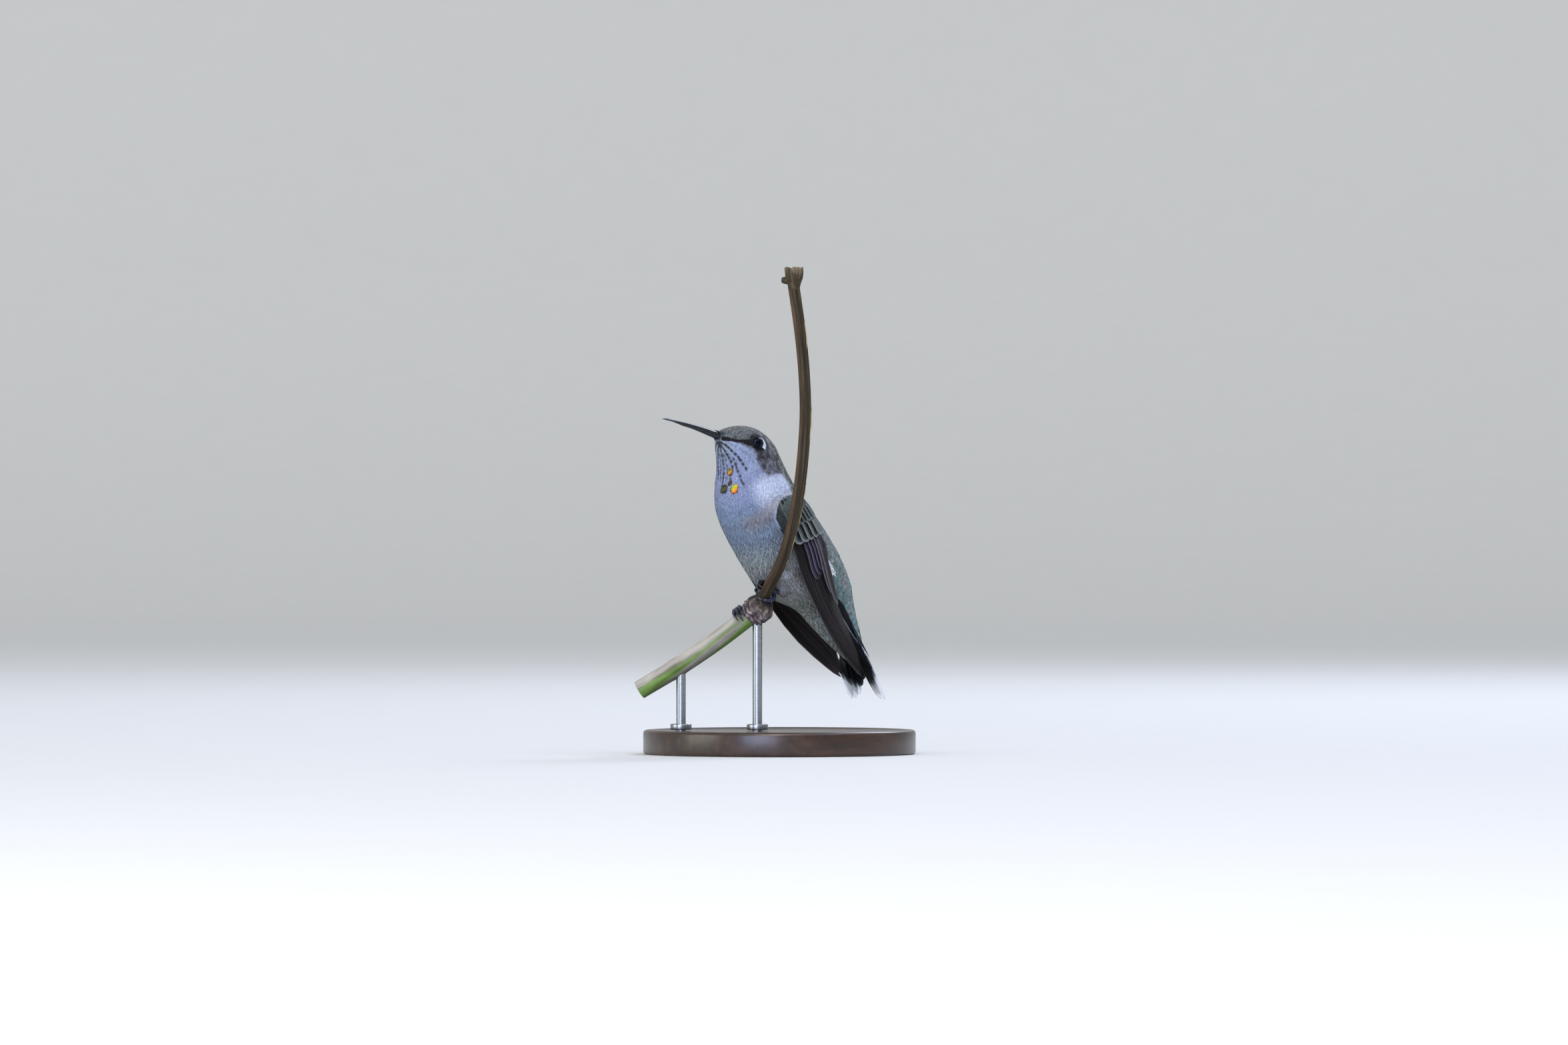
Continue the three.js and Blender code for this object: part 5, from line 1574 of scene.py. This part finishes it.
class HUMMINGBIRD_OT_eyes(bpy.types.Operator):
    """Makes the eyes and the rims of their lids"""

    bl_idname = "hummingbird.make_eyes"
    bl_label = "Make Eyes"

    def execute(self, context):
        s = context.scene.hummingbird_head
        # Wet cornea over a near-black iris: a mirror-clean surface with one bright light in it.
        sockets = {"Roughness": 0.03, "IOR": 1.38, "Specular IOR Level": 0.3}
        # The blue specular tint is a painted reflection: every reflection in the eye is coloured like open
        # sky.
        sockets["Specular Tint"] = (0.38, 0.55, 1.0)
        wet, *_ = mottled("wet_eye", sockets, (1800.0, 2.0), (0.6, 1.4))
        # Bare wrinkled skin: dark and slightly greasy.
        sockets = {"Roughness": 0.75, "IOR": 1.45, "Specular IOR Level": 0.2}
        ramp = [(0.35, tuple(s.lid)), (0.75, times(s.lid, 2.0, 0.002))]
        skin, *_ = mottled("lid_skin", sockets, (3000.0, 3.0), ramp, bump=(0.05, 0.6))
        for name, side in SIDES:
            flip = np.array([1, side, 1])
            centre, outward = EYE["centre"] * flip, EYE["outward"] * flip
            alone()
            bpy.ops.mesh.primitive_uv_sphere_add(segments=144, ring_count=72, radius=EYE["radius"] * MM)
            ball = named(f"eyeball_{name}")
            co = np.array([v.co for v in ball.data.vertices])
            # A black pupil in a dark brown iris, with a black ring round it.
            off = np.degrees(angle_from(unit(co), outward))
            brown = np.array(s.iris) * (1 + 0.3 * np.sin(off * 2.1))[:, None]
            tint = mix(np.tile(np.array(s.eye), (len(co), 1)), brown, smooth(off, 25, 28))
            set_colours(ball, mix(tint, s.eye, smooth(off, 37, 43)))
            ball.data.vertices.foreach_set("co", (co + (centre + OFFSET) * MM).ravel())
            bpy.ops.object.shade_smooth()
            finish_piece(ball, wet, [f"eye_{name}"])
            first = unit(np.cross(outward, [0, 0, 1.0]))
            second = np.cross(outward, first)
            turn = np.linspace(0, TURN, 72, endpoint=False)
            ripple = rippled(3 + side, 9, 3.0)
            small = circle(12)
            rings = []
            for angle in turn:
                around = first * math.cos(angle) + second * math.sin(angle)
                thick = 0.078 + 0.008 * math.sin(angle * 26) + 0.015 * ripple(angle, 0.0)
                middle = centre + outward * 0.9 + around * (EYE["lid"] + 0.045 * math.cos(2 * angle))
                ring = middle + around * (np.cos(small) * thick * 1.2)[:, None]
                rings.append(ring + outward * (np.sin(small) * thick)[:, None])
            rings = (np.array(rings + rings[:1]) + OFFSET) * MM
            lid = lofted(f"eyelids_{name}", rings, close=False)
            finish_piece(lid, skin)
        return {"FINISHED"}


VINE_TURN = math.radians(-42)
VINE_ALONG = np.array([0.743, -0.669, 0])  # the way the vine's plane runs
VINE_FRONT = np.array([-0.669, -0.743, 0])  # the way it faces
KNOT = np.array([-6.0, -6.1, 29.7])
BRANCH_END = np.array([-30.2, -1.6, 13.2])
BRANCH_SAG = 0.7
STEM_POINTS = [
    KNOT,
    [-3.6, -8.6, 34.6],
    [-1.3, -11.6, 39.0],
    [0.3, -13.3, 43.7],
    [1.4, -14.3, 48.2],
    [2.3, -14.7, 53.0],
    [3.2, -14.6, 60.0],
    [3.8, -14.2, 69.0],
    [3.6, -13.8, 77.0],
    [2.8, -13.4, 86.0],
    [1.5, -13.1, 95.6],
]


def to_world(points):
    """The vine's own plane turned to the part's frame."""
    p = np.asarray(points, float)
    c, s = math.cos(VINE_TURN), math.sin(VINE_TURN)
    return np.stack([p[..., 0] * c - p[..., 1] * s, p[..., 0] * s + p[..., 1] * c, p[..., 2]], -1)


stem_path = curve(to_world(STEM_POINTS))
branch_share = np.array([0, 0.34, 0.67, 1])
branch_points = KNOT + (BRANCH_END - KNOT) * branch_share[:, None]
branch_points[:, 2] -= BRANCH_SAG * 4 * branch_share * (1 - branch_share)
branch_path = curve(to_world(branch_points))
STEM_LENGTH = length_of(stem_path)
BRANCH_LENGTH = length_of(branch_path)


def bark_material(name, base, dark, pale, stripes, rough, fibrous=True):
    """Dry bark: fibres that run along the wood, grey crests, dark furrows and no shine."""
    material, tree, shader = surface(name, {"Roughness": rough, "IOR": 1.45, "Specular IOR Level": 0.25})
    own = add_node(tree, "ShaderNodeTexCoord").outputs["Object"]
    if fibrous:
        place = add_node(tree, "ShaderNodeUVMap", uv_map="UVMap")
        scale = (stripes, stripes * 0.22, 1.0)
    else:
        place, scale = own, (stripes * 90, stripes * 90, stripes * 35)
    fibres = add_node(tree, "ShaderNodeMapping", {"Vector": place, "Scale": scale})
    sockets = {"Vector": fibres, "Scale": 1.0, "Detail": 6.0, "Roughness": 0.65}
    fine = add_node(tree, "ShaderNodeTexNoise", sockets)
    broad = add_node(tree, "ShaderNodeTexNoise", {"Vector": own, "Scale": 260.0, "Detail": 4.0})
    ramp = [(0.32, linear(dark)), (0.5, base), (0.7, linear(pale))]
    bark = add_node(tree, "ShaderNodeValToRGB", {"Fac": fine}, stops=ramp)
    level = add_node(tree, "ShaderNodeMapRange", {"Value": broad, "To Min": 0.65, "To Max": 1.3})
    tint = add_node(tree, "ShaderNodeAttribute", attribute_name="tint")
    tinted = add_node(tree, "ShaderNodeVectorMath", {0: bark, 1: tint}, operation="MULTIPLY")
    scaled = add_node(tree, "ShaderNodeVectorMath", {0: tinted, "Scale": level}, operation="SCALE")
    height = add_node(tree, "ShaderNodeMath", {0: fine, 1: 1.0, 2: broad}, operation="MULTIPLY_ADD")
    rise = add_node(tree, "ShaderNodeBump", {"Height": height, "Distance": 0.14 * MM, "Strength": 0.8})
    connect(tree, shader, {"Base Color": scaled, "Normal": rise})
    return material


class HUMMINGBIRD_OT_vine(bpy.types.Operator):
    """Makes the stem, the knot and the branch of the dry vine"""

    bl_idname = "hummingbird.make_vine"
    bl_label = "Make Vine"

    def execute(self, context):
        s = context.scene.hummingbird_vine
        stem = bark_material("stem_bark", tuple(s.stem), "#221e16", "#72644c", 14.0, 0.75)
        branch = bark_material("branch_bark", tuple(s.branch), "#75695c", "#c0bbae", 9.0, 0.7)
        knot = bark_material("knot_bark", tuple(s.knot), "#282024", "#a99f9b", 12.0, 0.8, fibrous=False)
        dry = bark_material("peeling_fibre", linear("#a3926c"), "#7a6a4c", "#cbbd97", 3.0, 0.8)
        self.stem(s, stem)
        self.torn_end(stem)
        self.branch(s, branch)
        self.knot(knot)
        self.fibres(dry)
        return {"FINISHED"}

    def stem(self, s, material):
        """The upright stem, ridged along its fibres."""
        count, sides = 260, 48
        points = even(stem_path, count, 1.9 / STEM_LENGTH, 1.0)
        ridges, fine = rippled(11, 7, 26.0), rippled(12, 13, 60.0)
        run = np.linspace(0, STEM_LENGTH, count)
        swell = np.interp(run, [0, 2, 5, 93, 96.5], [0.18, 0.12, 0.0, 0.0, 0.12])
        radius = s.stem_radius / MM - 0.06 + swell
        rings = tube_rings(points, radius, sides, lambda t, r: 0.045 * ridges(t, r) + 0.025 * fine(t, r))
        outward = unit(rings / MM - OFFSET - points[:, None])
        # The side towards -VINE_ALONG is painted lighter and redder, reddish bark with a painted highlight on
        # that edge; the side towards VINE_ALONG paler and greener, pale fibres with a painted highlight; the
        # middle between them is darker.
        left = smooth(outward @ unit(-VINE_ALONG), 0.0, 0.75)
        right = smooth(outward @ unit(VINE_ALONG), 0.35, 0.9)
        tint = mix(mix(np.full(3, 0.55), [1.15, 0.98, 0.98], left), [0.95, 0.98, 0.8], right)
        piece = lofted("vine_stem", rings, tint=tint)
        nodes = [f"perch_stem_{part}" for part in ("lower", "middle", "upper")]
        finish_piece(piece, material, nodes)

    def torn_end(self, material):
        """A cup of curled bark on the stem's end, with the stub of a side shoot."""
        top = even(stem_path, 2, 0.999, 1.0)[1]
        torn = rippled(31, 6, 9.0)
        turn = circle(56)
        # The rings go up outside, over the notched rim and down inside.
        radius = np.array([1.15, 1.25, 1.42, 1.72, 1.86, 1.93, 1.7, 1.42, 1.28, 1.1, 0.5, 0.05])[:, None]
        height = np.array([-1.6, -0.9, -0.2, 0.6, 1.5, 2.9, 3.05, 2.9, 1.8, 1.2, 0.95, 0.9])[:, None]
        notched = np.array([0] * 4 + [1] * 4 + [0] * 4)[:, None]
        bark, rim, pith = (1.0, 1.0, 1.0), (2.1, 2.2, 2.4), (0.6, 0.32, 0.28)
        tint = np.array([bark] * 5 + [rim] * 3 + [pith] * 4)[:, None]
        wide = radius + 0.1 * torn(turn, height * 2) * np.minimum(1, radius)
        high = height + notched * (0.16 * np.sin(5 * turn) - 0.16) + 1.2
        rings = np.stack([np.cos(turn) * wide, np.sin(turn) * wide, high], -1) + top
        piece = lofted("vine_cup", (rings + OFFSET) * MM, tint=np.repeat(tint, 56, 1))
        finish_piece(piece, material)
        way = unit(to_world([-1, -0.35, 0.1]))
        points = top + np.array([0, 0, 1.3]) + way * np.linspace(0, 2.6, 14)[:, None]
        radius = np.interp(np.linspace(0, 1, 14), [0, 0.3, 0.9, 1], [1.0, 0.85, 0.68, 0.5])
        rings = tube_rings(points, radius, 24, lambda t, r: 0.06 * torn(t, r))
        piece = lofted("vine_stub", rings, tint=np.full((14, 24, 3), 0.9))
        finish_piece(piece, material)

    def branch(self, s, material):
        """The slanting branch: grey above, with a green film of algae low on its side."""
        count, sides = 150, 64
        points = even(branch_path, count, 1.6 / BRANCH_LENGTH, 1.0)
        ridges, fine, patchy = rippled(41, 5, 18.0), rippled(42, 16, 40.0), rippled(43, 4, 14.0)
        run = np.linspace(0, BRANCH_LENGTH, count)
        radius = s.branch_radius / MM - 0.05 + 0.14 * bell(run, 20.5, 1.6)
        rings = tube_rings(points, radius, sides, lambda t, r: 0.06 * ridges(t, r) + 0.02 * fine(t, r))
        up = unit(rings / MM - OFFSET - points[:, None])[..., 2]
        turn, run = circle(sides)[None], run[:, None]
        green = smooth(up + 0.25 * patchy(turn, run), 0.35, -0.12) * smooth(up, -1.0, -0.8)
        green = green * smooth(patchy(turn, run * 0.5 + 4), -0.75, -0.1)
        # The bark is painted darker towards the bottom, painted shade under the branch, and the algae 1.2
        # times brighter, painted light that lifts it out of that shade.
        grey = np.interp(up, [-1, -0.2, 0.8], [0.55, 0.8, 1.06])[..., None]
        tint = mix(grey, 1.2 * np.array(s.algae) / np.array(s.branch), green * 0.9)
        piece = lofted("vine_branch", rings, tint=tint)
        finish_piece(piece, material, ["perch_branch"])

    def knot(self, material):
        """The knot where both grow together: a lump of healed, folded bark. Two folds ring the branch's end,
        a scar lies
            below them, and furrows run from there towards the stem. Its crests are painted pale, a painted
            highlight, and its hollows and the scar dark, painted shade."""
        alone()
        bpy.ops.mesh.primitive_ico_sphere_add(subdivisions=6, radius=1)
        piece = named("vine_knot")
        co = unit(np.array([v.co for v in piece.data.vertices]))
        ends = even(branch_path, 3, 0.05, 0.15)
        along = unit(ends[2] - ends[0])
        towards = co @ along
        first = unit(np.cross(along, [0, 0, 1.0]))
        second = np.cross(along, first)
        around = np.arctan2(co @ second, co @ first)
        rng = np.random.default_rng(17)
        lumps = np.zeros(len(co))
        for way in unit(rng.normal(size=(40, 3))):
            near = angle_from(co, way) / rng.uniform(0.15, 0.45)
            lumps += bell(near, 0, 1) * rng.uniform(-0.16, 0.18)
        at = towards + 0.05 * np.sin(3 * around + 1) + 0.03 * np.sin(7 * around)
        folds = 0.3 * bell(at, 0.6, 0.07) + 0.26 * bell(at, 0.38, 0.08)
        folds -= 0.22 * bell(at, 0.49, 0.05) + 0.2 * bell(at, 0.22, 0.06)
        furrows = 0.07 * np.sin(17 * around + 2 * np.sin(4 * towards)) * smooth(towards, 0.25, 0.05)
        from_scar = angle_from(co, unit(-1.05 * VINE_ALONG + 2.4 * VINE_FRONT + np.array([0, 0, -1.3])))
        scar, lip = bell(from_scar, 0, 0.17), bell(from_scar, 0.3, 0.09)
        burl = bell(angle_from(co, unit(VINE_ALONG + np.array([0, 0, -0.5]))), 0, 0.3)
        radius = 2.95 + 0.25 * towards**2 + lumps + folds + furrows - 0.45 * scar + 0.12 * lip + 0.3 * burl
        place = co * radius[:, None] + to_world(KNOT) + OFFSET
        piece.data.vertices.foreach_set("co", (place * MM).ravel())
        # Painted highlight on the crests, painted shade in the hollows and the scar; the side away from the
        # branch is darker and browner.
        crest_highlight = smooth(folds + lumps * 0.8 + 0.25 * lip, 0.02, 0.25)
        hollow_shade = smooth(folds + lumps + furrows, 0.0, -0.2)
        tint = mix(np.full((len(co), 3), 0.8), [1.75, 1.72, 1.8], crest_highlight * 0.75)
        tint = mix(tint, [0.42, 0.33, 0.34], hollow_shade * 0.8)
        tint = mix(tint, [0.2, 0.14, 0.2], scar)
        tint = mix(tint, tint * np.array([0.62, 0.62, 0.5]), smooth(towards, 0.1, -0.6))
        set_colours(piece, tint)
        bpy.ops.object.shade_smooth()
        finish_piece(piece, material, ["perch_knot"])

    def fibres(self, material):
        """Pale strips of bark that peel off one side of the stem."""
        rng = np.random.default_rng(23)
        strips = [(8.5, 4.5), (13.2, 5.2), (18.6, 6.0), (25.5, 4.0), (38.0, 7.0), (57.0, 6.0)]
        for number, (first, long_) in enumerate(strips):
            points = even(stem_path, 24, first / STEM_LENGTH, (first + long_) / STEM_LENGTH)
            way = unit(VINE_ALONG + VINE_FRONT * rng.uniform(-0.1, 0.55))
            v = np.linspace(0, 1, 24)
            off = 1.22 + 0.04 * np.sin(v * 9 + number) + 0.12 * smooth(v, 0.8, 1.0)
            across = np.cross(unit(np.gradient(points, axis=0)), way)
            line = points + way * off[:, None] + across * (0.12 * np.sin(v * 5 + number))[:, None]
            thick = 0.13 * np.sin(np.clip(v, 0.03, 0.97) * math.pi) ** 0.5
            piece = lofted(f"bark_fibre_{number}", tube_rings(line, thick, 8), tint=np.ones((24, 8, 3)))
            finish_piece(piece, material)


# How each foot holds its length of vine, in millimetres along it and in radians round it: the place, the way
# that the toes are counted, the vine's radius, how far each toe slides along it, and how far round the front
# toes and the hind one reach.
FEET = {
    "left": {
        "path": stem_path, "whole": STEM_LENGTH, "at": 4.5, "sense": 1, "perch": 1.25,
        "slides": (-0.35, 0.55, 1.4, -1.0), "front": 2.5, "hind": -2.3,
    },
    "right": {
        "path": branch_path, "whole": BRANCH_LENGTH, "at": 3.3, "sense": -1, "perch": 2.0,
        "slides": (-0.8, 0.05, 0.9, 0.5), "front": 2.0, "hind": -1.2,
    },
}
TOES = ("inner", "middle", "outer", "hind")
GRIP_GAP = 0.3
TOE_RADIUS = 0.48
SHANK_RADIUS = 0.5
CLAW_RADIUS = 0.3
CLAW_LENGTH = 1.8


class HUMMINGBIRD_OT_feet(bpy.types.Operator):
    """Makes both legs with their toes and claws"""

    bl_idname = "hummingbird.make_feet"
    bl_label = "Make Feet"

    def execute(self, context):
        s = context.scene.hummingbird_head
        # Scaled skin over bone: dark, slightly waxy, with a cold gleam.
        ramp = [(0.3, times(s.foot, 0.7)), (0.75, times(s.foot, 1.9, 0.01))]
        skin, tree, shader, _ = mottled("scaled_skin", {"Roughness": 0.27, "IOR": 1.5}, (2600.0, 3.0), ramp)
        place = add_node(tree, "ShaderNodeUVMap", uv_map="UVMap")
        along = add_node(tree, "ShaderNodeSeparateXYZ", {"Vector": place}).outputs["Y"]
        line = add_node(tree, "ShaderNodeMath", {0: along, 1: 75.0}, operation="MULTIPLY")
        wave = add_node(tree, "ShaderNodeMath", {0: line}, operation="SINE")
        rise = add_node(tree, "ShaderNodeBump", {"Height": wave, "Distance": 0.03 * MM, "Strength": 0.6})
        connect(tree, shader, {"Normal": rise})
        # Polished horn: near black, bright along its curve.
        ramp = [(0.3, tuple(s.claw)), (0.8, times(s.claw, 2, 0.004))]
        horn, *_ = mottled("claw_horn", {"Roughness": 0.18, "IOR": 1.54}, (1200.0, 2.0), ramp)
        for name, grip in FEET.items():
            self.foot(name, grip, HIPS[name], skin, horn)
            self.leg_tuft(name, HIPS[name])
        return {"FINISHED"}

    def foot(self, name, grip, hip, skin, horn):
        """One leg with its toes, and the claws on them."""
        at, whole = grip["at"], grip["whole"]
        points = even(grip["path"], 3, (at - 0.2) / whole, (at + 0.2) / whole)
        centre, axis = points[1], unit(points[2] - points[0]) * grip["sense"]
        radius = grip["perch"] + GRIP_GAP + TOE_RADIUS
        inward = hip - centre
        x = unit(inward - axis * (inward @ axis))
        y = np.cross(axis, x)

        def wrap(turn, slide, out):
            turn, slide, out = np.broadcast_arrays(np.asarray(turn, float), slide, out)
            r = radius + out
            round_ = x * (np.cos(turn) * r)[..., None] + y * (np.sin(turn) * r)[..., None]
            return centre + axis * slide[..., None] + round_

        made = []
        ends = (grip["front"] - 0.2, grip["front"], grip["front"] - 0.2, grip["hind"])
        for number, (toe, slide, end) in enumerate(zip(TOES, grip["slides"], ends)):
            v = np.linspace(0, 1, 34)
            line = wrap(end * v, slide * 0.35 + slide * 0.65 * v, -0.08)
            pads = 1 + 0.13 * np.sin(v * math.pi * 3.5 + 0.6) ** 2
            rings = tube_rings(line, TOE_RADIUS * (1.02 - 0.22 * v) * pads * 0.98, 16)
            made.append(lofted(f"toe_{name}_{number}", rings))
            v = np.linspace(0, 1, 26)
            way = math.copysign(1, end)
            turn = end + way * (0.05 + (CLAW_LENGTH + GRIP_GAP) * v) / radius
            line = wrap(turn, slide, 0.35 * np.sin(math.pi * v * 0.75) - 0.1 * v)
            thick = CLAW_RADIUS * np.interp(v, [0, 0.2, 0.7, 1.0], [1.2, 1.1, 0.6, 0.16])
            claw = lofted(f"horn_{name}_{toe}", tube_rings(line, thick, 14))
            finish_piece(claw, horn, [f"claw_{name}_{toe}"])
        ankle = wrap(0.0, 0.0, 0.1)
        bend = ankle + (hip - ankle) * 0.55 + np.array([0, 0, -0.3])
        line = even(curve([ankle, bend, hip]), 30, 0, 0.92)
        v = np.linspace(0, 1, 30)
        rings = tube_rings(line, SHANK_RADIUS * (1 + 0.25 * v) * (1 + 0.05 * np.sin(v * 40)), 18)
        made.append(lofted(f"shank_{name}", rings))
        alone()
        place = tuple((ankle + OFFSET) * MM)
        bpy.ops.mesh.primitive_uv_sphere_add(segments=24, ring_count=14, radius=0.7 * MM, location=place)
        bpy.ops.object.transform_apply(location=True)
        bpy.ops.object.shade_smooth()
        made.append(named(f"ankle_{name}"))
        finish_piece(joined(made, f"scaled_foot_{name}"), skin, [f"foot_{name}"])

    def leg_tuft(self, name, hip):
        """The small white puff of feathers round the top of the leg."""
        rng = np.random.default_rng(51)
        count = 340
        way = unit(rng.normal(size=(count, 3)))
        way = way[way[:, 2] < 0.75]
        count = len(way)
        lie = unit(np.array([0.1, 0, -1.0]) - way * (way @ np.array([0.1, 0, -1.0]))[:, None])
        v = COAT_ROWS[None, :, None]
        angle = rng.uniform(0.5, 0.9, (count, 1, 1)) * v
        line = way[:, None] * np.cos(angle) + lie[:, None] * np.sin(angle)
        centre = hip + line * THIGH * (0.68 + rng.uniform(0.14, 0.36, (count, 1, 1)) * v)
        half = 0.16 * np.array(STRANDS["widths"])[None]
        pale = by_station(way[:, 2], [-0.5, 0.7], ["#6f6b68", "#8f9197"]) * rng.normal(1, 0.06, (count, 1))
        turn = np.full(count, math.copysign(2.5, hip[1])) + 0.15 * way[:, 1]
        place = unwrapped(9.9 - 0.15 * way[:, 0], turn), PATCH
        vane = centre, unit(line), half, half * 0.2 + 0.01, COAT_COLUMNS, pale[:, None, None]
        piece = feathers(f"leg_tuft_{name}", *vane, place)
        finish_piece(piece, bpy.data.materials["contour_feather"])


class HUMMINGBIRD_OT_stand(bpy.types.Operator):
    """Makes the round wooden base and the two steel rods"""

    bl_idname = "hummingbird.make_stand"
    bl_label = "Make Stand"

    def execute(self, context):
        s = context.scene.hummingbird_stand
        # Stained hardwood under a satin varnish: dark growth rings and fine pores.
        sockets = {"Roughness": 0.36, "IOR": 1.5, "Coat Weight": 0.35, "Coat Roughness": 0.2}
        wood, tree, shader = surface("stained_walnut", sockets)
        own = add_node(tree, "ShaderNodeTexCoord").outputs["Object"]
        grain = add_node(tree, "ShaderNodeMapping", {"Vector": own, "Scale": (38.0, 420.0, 420.0)})
        sockets = {"Vector": grain, "Scale": 1.0, "Detail": 5.0, "Roughness": 0.6}
        rings = add_node(tree, "ShaderNodeTexNoise", sockets)
        pores = add_node(tree, "ShaderNodeMapping", {"Vector": own, "Scale": (400.0, 3600.0, 3600.0)})
        pore = add_node(tree, "ShaderNodeTexNoise", {"Vector": pores, "Scale": 1.0, "Detail": 2.0})
        ramp = [(0.3, times(s.wood, 0.45)), (0.5, tuple(s.wood)), (0.72, times(s.wood, 2.0))]
        shade = add_node(tree, "ShaderNodeValToRGB", {"Fac": rings}, stops=ramp)
        sockets = {"Value": pore, "From Min": 0.35, "To Min": 0.7, "To Max": 1.15}
        level = add_node(tree, "ShaderNodeMapRange", sockets)
        scaled = add_node(tree, "ShaderNodeVectorMath", {0: shade, "Scale": level}, operation="SCALE")
        rise = add_node(tree, "ShaderNodeBump", {"Height": pore, "Distance": 0.02 * MM, "Strength": 0.35})
        connect(tree, shader, {"Base Color": scaled, "Normal": rise})
        radius, height = s.base_radius, s.base_height
        alone()
        middle = (0, 0, height / 2)
        bpy.ops.mesh.primitive_cylinder_add(vertices=160, radius=radius, depth=height, location=middle)
        base = named("display_base")
        bpy.ops.object.transform_apply(location=True)
        bpy.ops.object.mode_set(mode="EDIT")
        bpy.ops.mesh.select_all(action="DESELECT")
        bpy.ops.object.mode_set(mode="OBJECT")
        for face in base.data.polygons:
            face.select = face.normal.z > 0.9
        bpy.ops.object.mode_set(mode="EDIT")
        bpy.ops.mesh.select_mode(type="FACE")
        bpy.ops.mesh.inset(thickness=2.2 * MM)
        bpy.ops.mesh.inset(thickness=0.35 * MM, depth=-0.2 * MM)
        bpy.ops.object.mode_set(mode="OBJECT")
        bevel = base.modifiers.new("eased_edge", "BEVEL")
        bevel.width = 0.7 * MM
        bevel.segments = 4
        bevel.angle_limit = math.radians(50)
        bevel.limit_method = "ANGLE"
        bpy.ops.object.modifier_apply(modifier="eased_edge")
        bpy.ops.object.shade_smooth_by_angle(angle=math.radians(40))
        finish_piece(base, wood, ["stand_base"])

        # Ground steel bar: bright, with fine marks round it from the polishing belt.
        sockets = {"Metallic": 1.0, "Roughness": 0.28}
        ramp = [(0.3, times(s.steel, 0.8)), (0.7, tuple(s.steel))]
        look = {"bump": (0.01, 0.3), "grain": (300.0, 300.0, 9000.0)}
        steel, tree, shader, noise = mottled("ground_steel", sockets, (1.0, 3.0), ramp, **look)
        rough = add_node(tree, "ShaderNodeMapRange", {"Value": noise, "To Min": 0.2, "To Max": 0.4})
        connect(tree, shader, {"Roughness": rough})
        for node in ("stand_rod_knot", "stand_rod_branch"):
            low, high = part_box(node)
            middle = (low + high) / 2
            top = high.z + 0.15 * MM
            rod = self.bar(middle, low.z, top, 1.0 * MM, 48)
            foot = height + 0.05 * MM
            collar = self.bar(middle, foot, foot + 1.2 * MM, 2.2 * MM, 64)
            bevel = collar.modifiers.new("eased_edge", "BEVEL")
            bevel.width = 0.2 * MM
            bevel.segments = 3
            bpy.ops.object.modifier_apply(modifier="eased_edge")
            rod = joined([rod, collar], node.replace("stand_", "display_"))
            bpy.ops.object.shade_smooth_by_angle(angle=math.radians(35))
            finish_piece(rod, steel, [node])
        return {"FINISHED"}

    def bar(self, middle, low, high, radius, sides):
        alone()
        place = (middle.x, middle.y, (high + low) / 2)
        bpy.ops.mesh.primitive_cylinder_add(vertices=sides, radius=radius, depth=high - low, location=place)
        bpy.ops.object.transform_apply(location=True)
        return bpy.context.object


class HUMMINGBIRD_PT_panel(bpy.types.Panel):
    bl_idname = "HUMMINGBIRD_PT_panel"
    bl_label = "Hummingbird"
    bl_space_type = "VIEW_3D"
    bl_region_type = "UI"
    bl_category = "Hummingbird"

    def draw(self, context):
        for operator in OPERATORS:
            self.layout.operator(operator.bl_idname)
        for name in SETTINGS:
            group = getattr(context.scene, name)
            for key in group.bl_rna.properties.keys():
                if key not in ("rna_type", "name"):
                    self.layout.prop(group, key)


OPERATORS = [
    HUMMINGBIRD_OT_stage,
    HUMMINGBIRD_OT_skin,
    HUMMINGBIRD_OT_coat,
    HUMMINGBIRD_OT_wings,
    HUMMINGBIRD_OT_tail,
    HUMMINGBIRD_OT_bill,
    HUMMINGBIRD_OT_eyes,
    HUMMINGBIRD_OT_feet,
    HUMMINGBIRD_OT_vine,
    HUMMINGBIRD_OT_stand,
]
SETTINGS = {
    "hummingbird_plumage": PlumageSettings,
    "hummingbird_head": HeadSettings,
    "hummingbird_vine": VineSettings,
    "hummingbird_stand": StandSettings,
    "hummingbird_stage": StageSettings,
}


def register():
    for kind in [*SETTINGS.values(), *OPERATORS, HUMMINGBIRD_PT_panel]:
        bpy.utils.register_class(kind)
    for name, kind in SETTINGS.items():
        setattr(bpy.types.Scene, name, bpy.props.PointerProperty(type=kind))


def unregister():
    for name in SETTINGS:
        delattr(bpy.types.Scene, name)
    for kind in [HUMMINGBIRD_PT_panel, *reversed(OPERATORS), *SETTINGS.values()]:
        bpy.utils.unregister_class(kind)


def main():
    register()
    for operator in OPERATORS:
        group, name = operator.bl_idname.split(".")
        getattr(getattr(bpy.ops, group), name)()


if __name__ == "__main__":
    main()
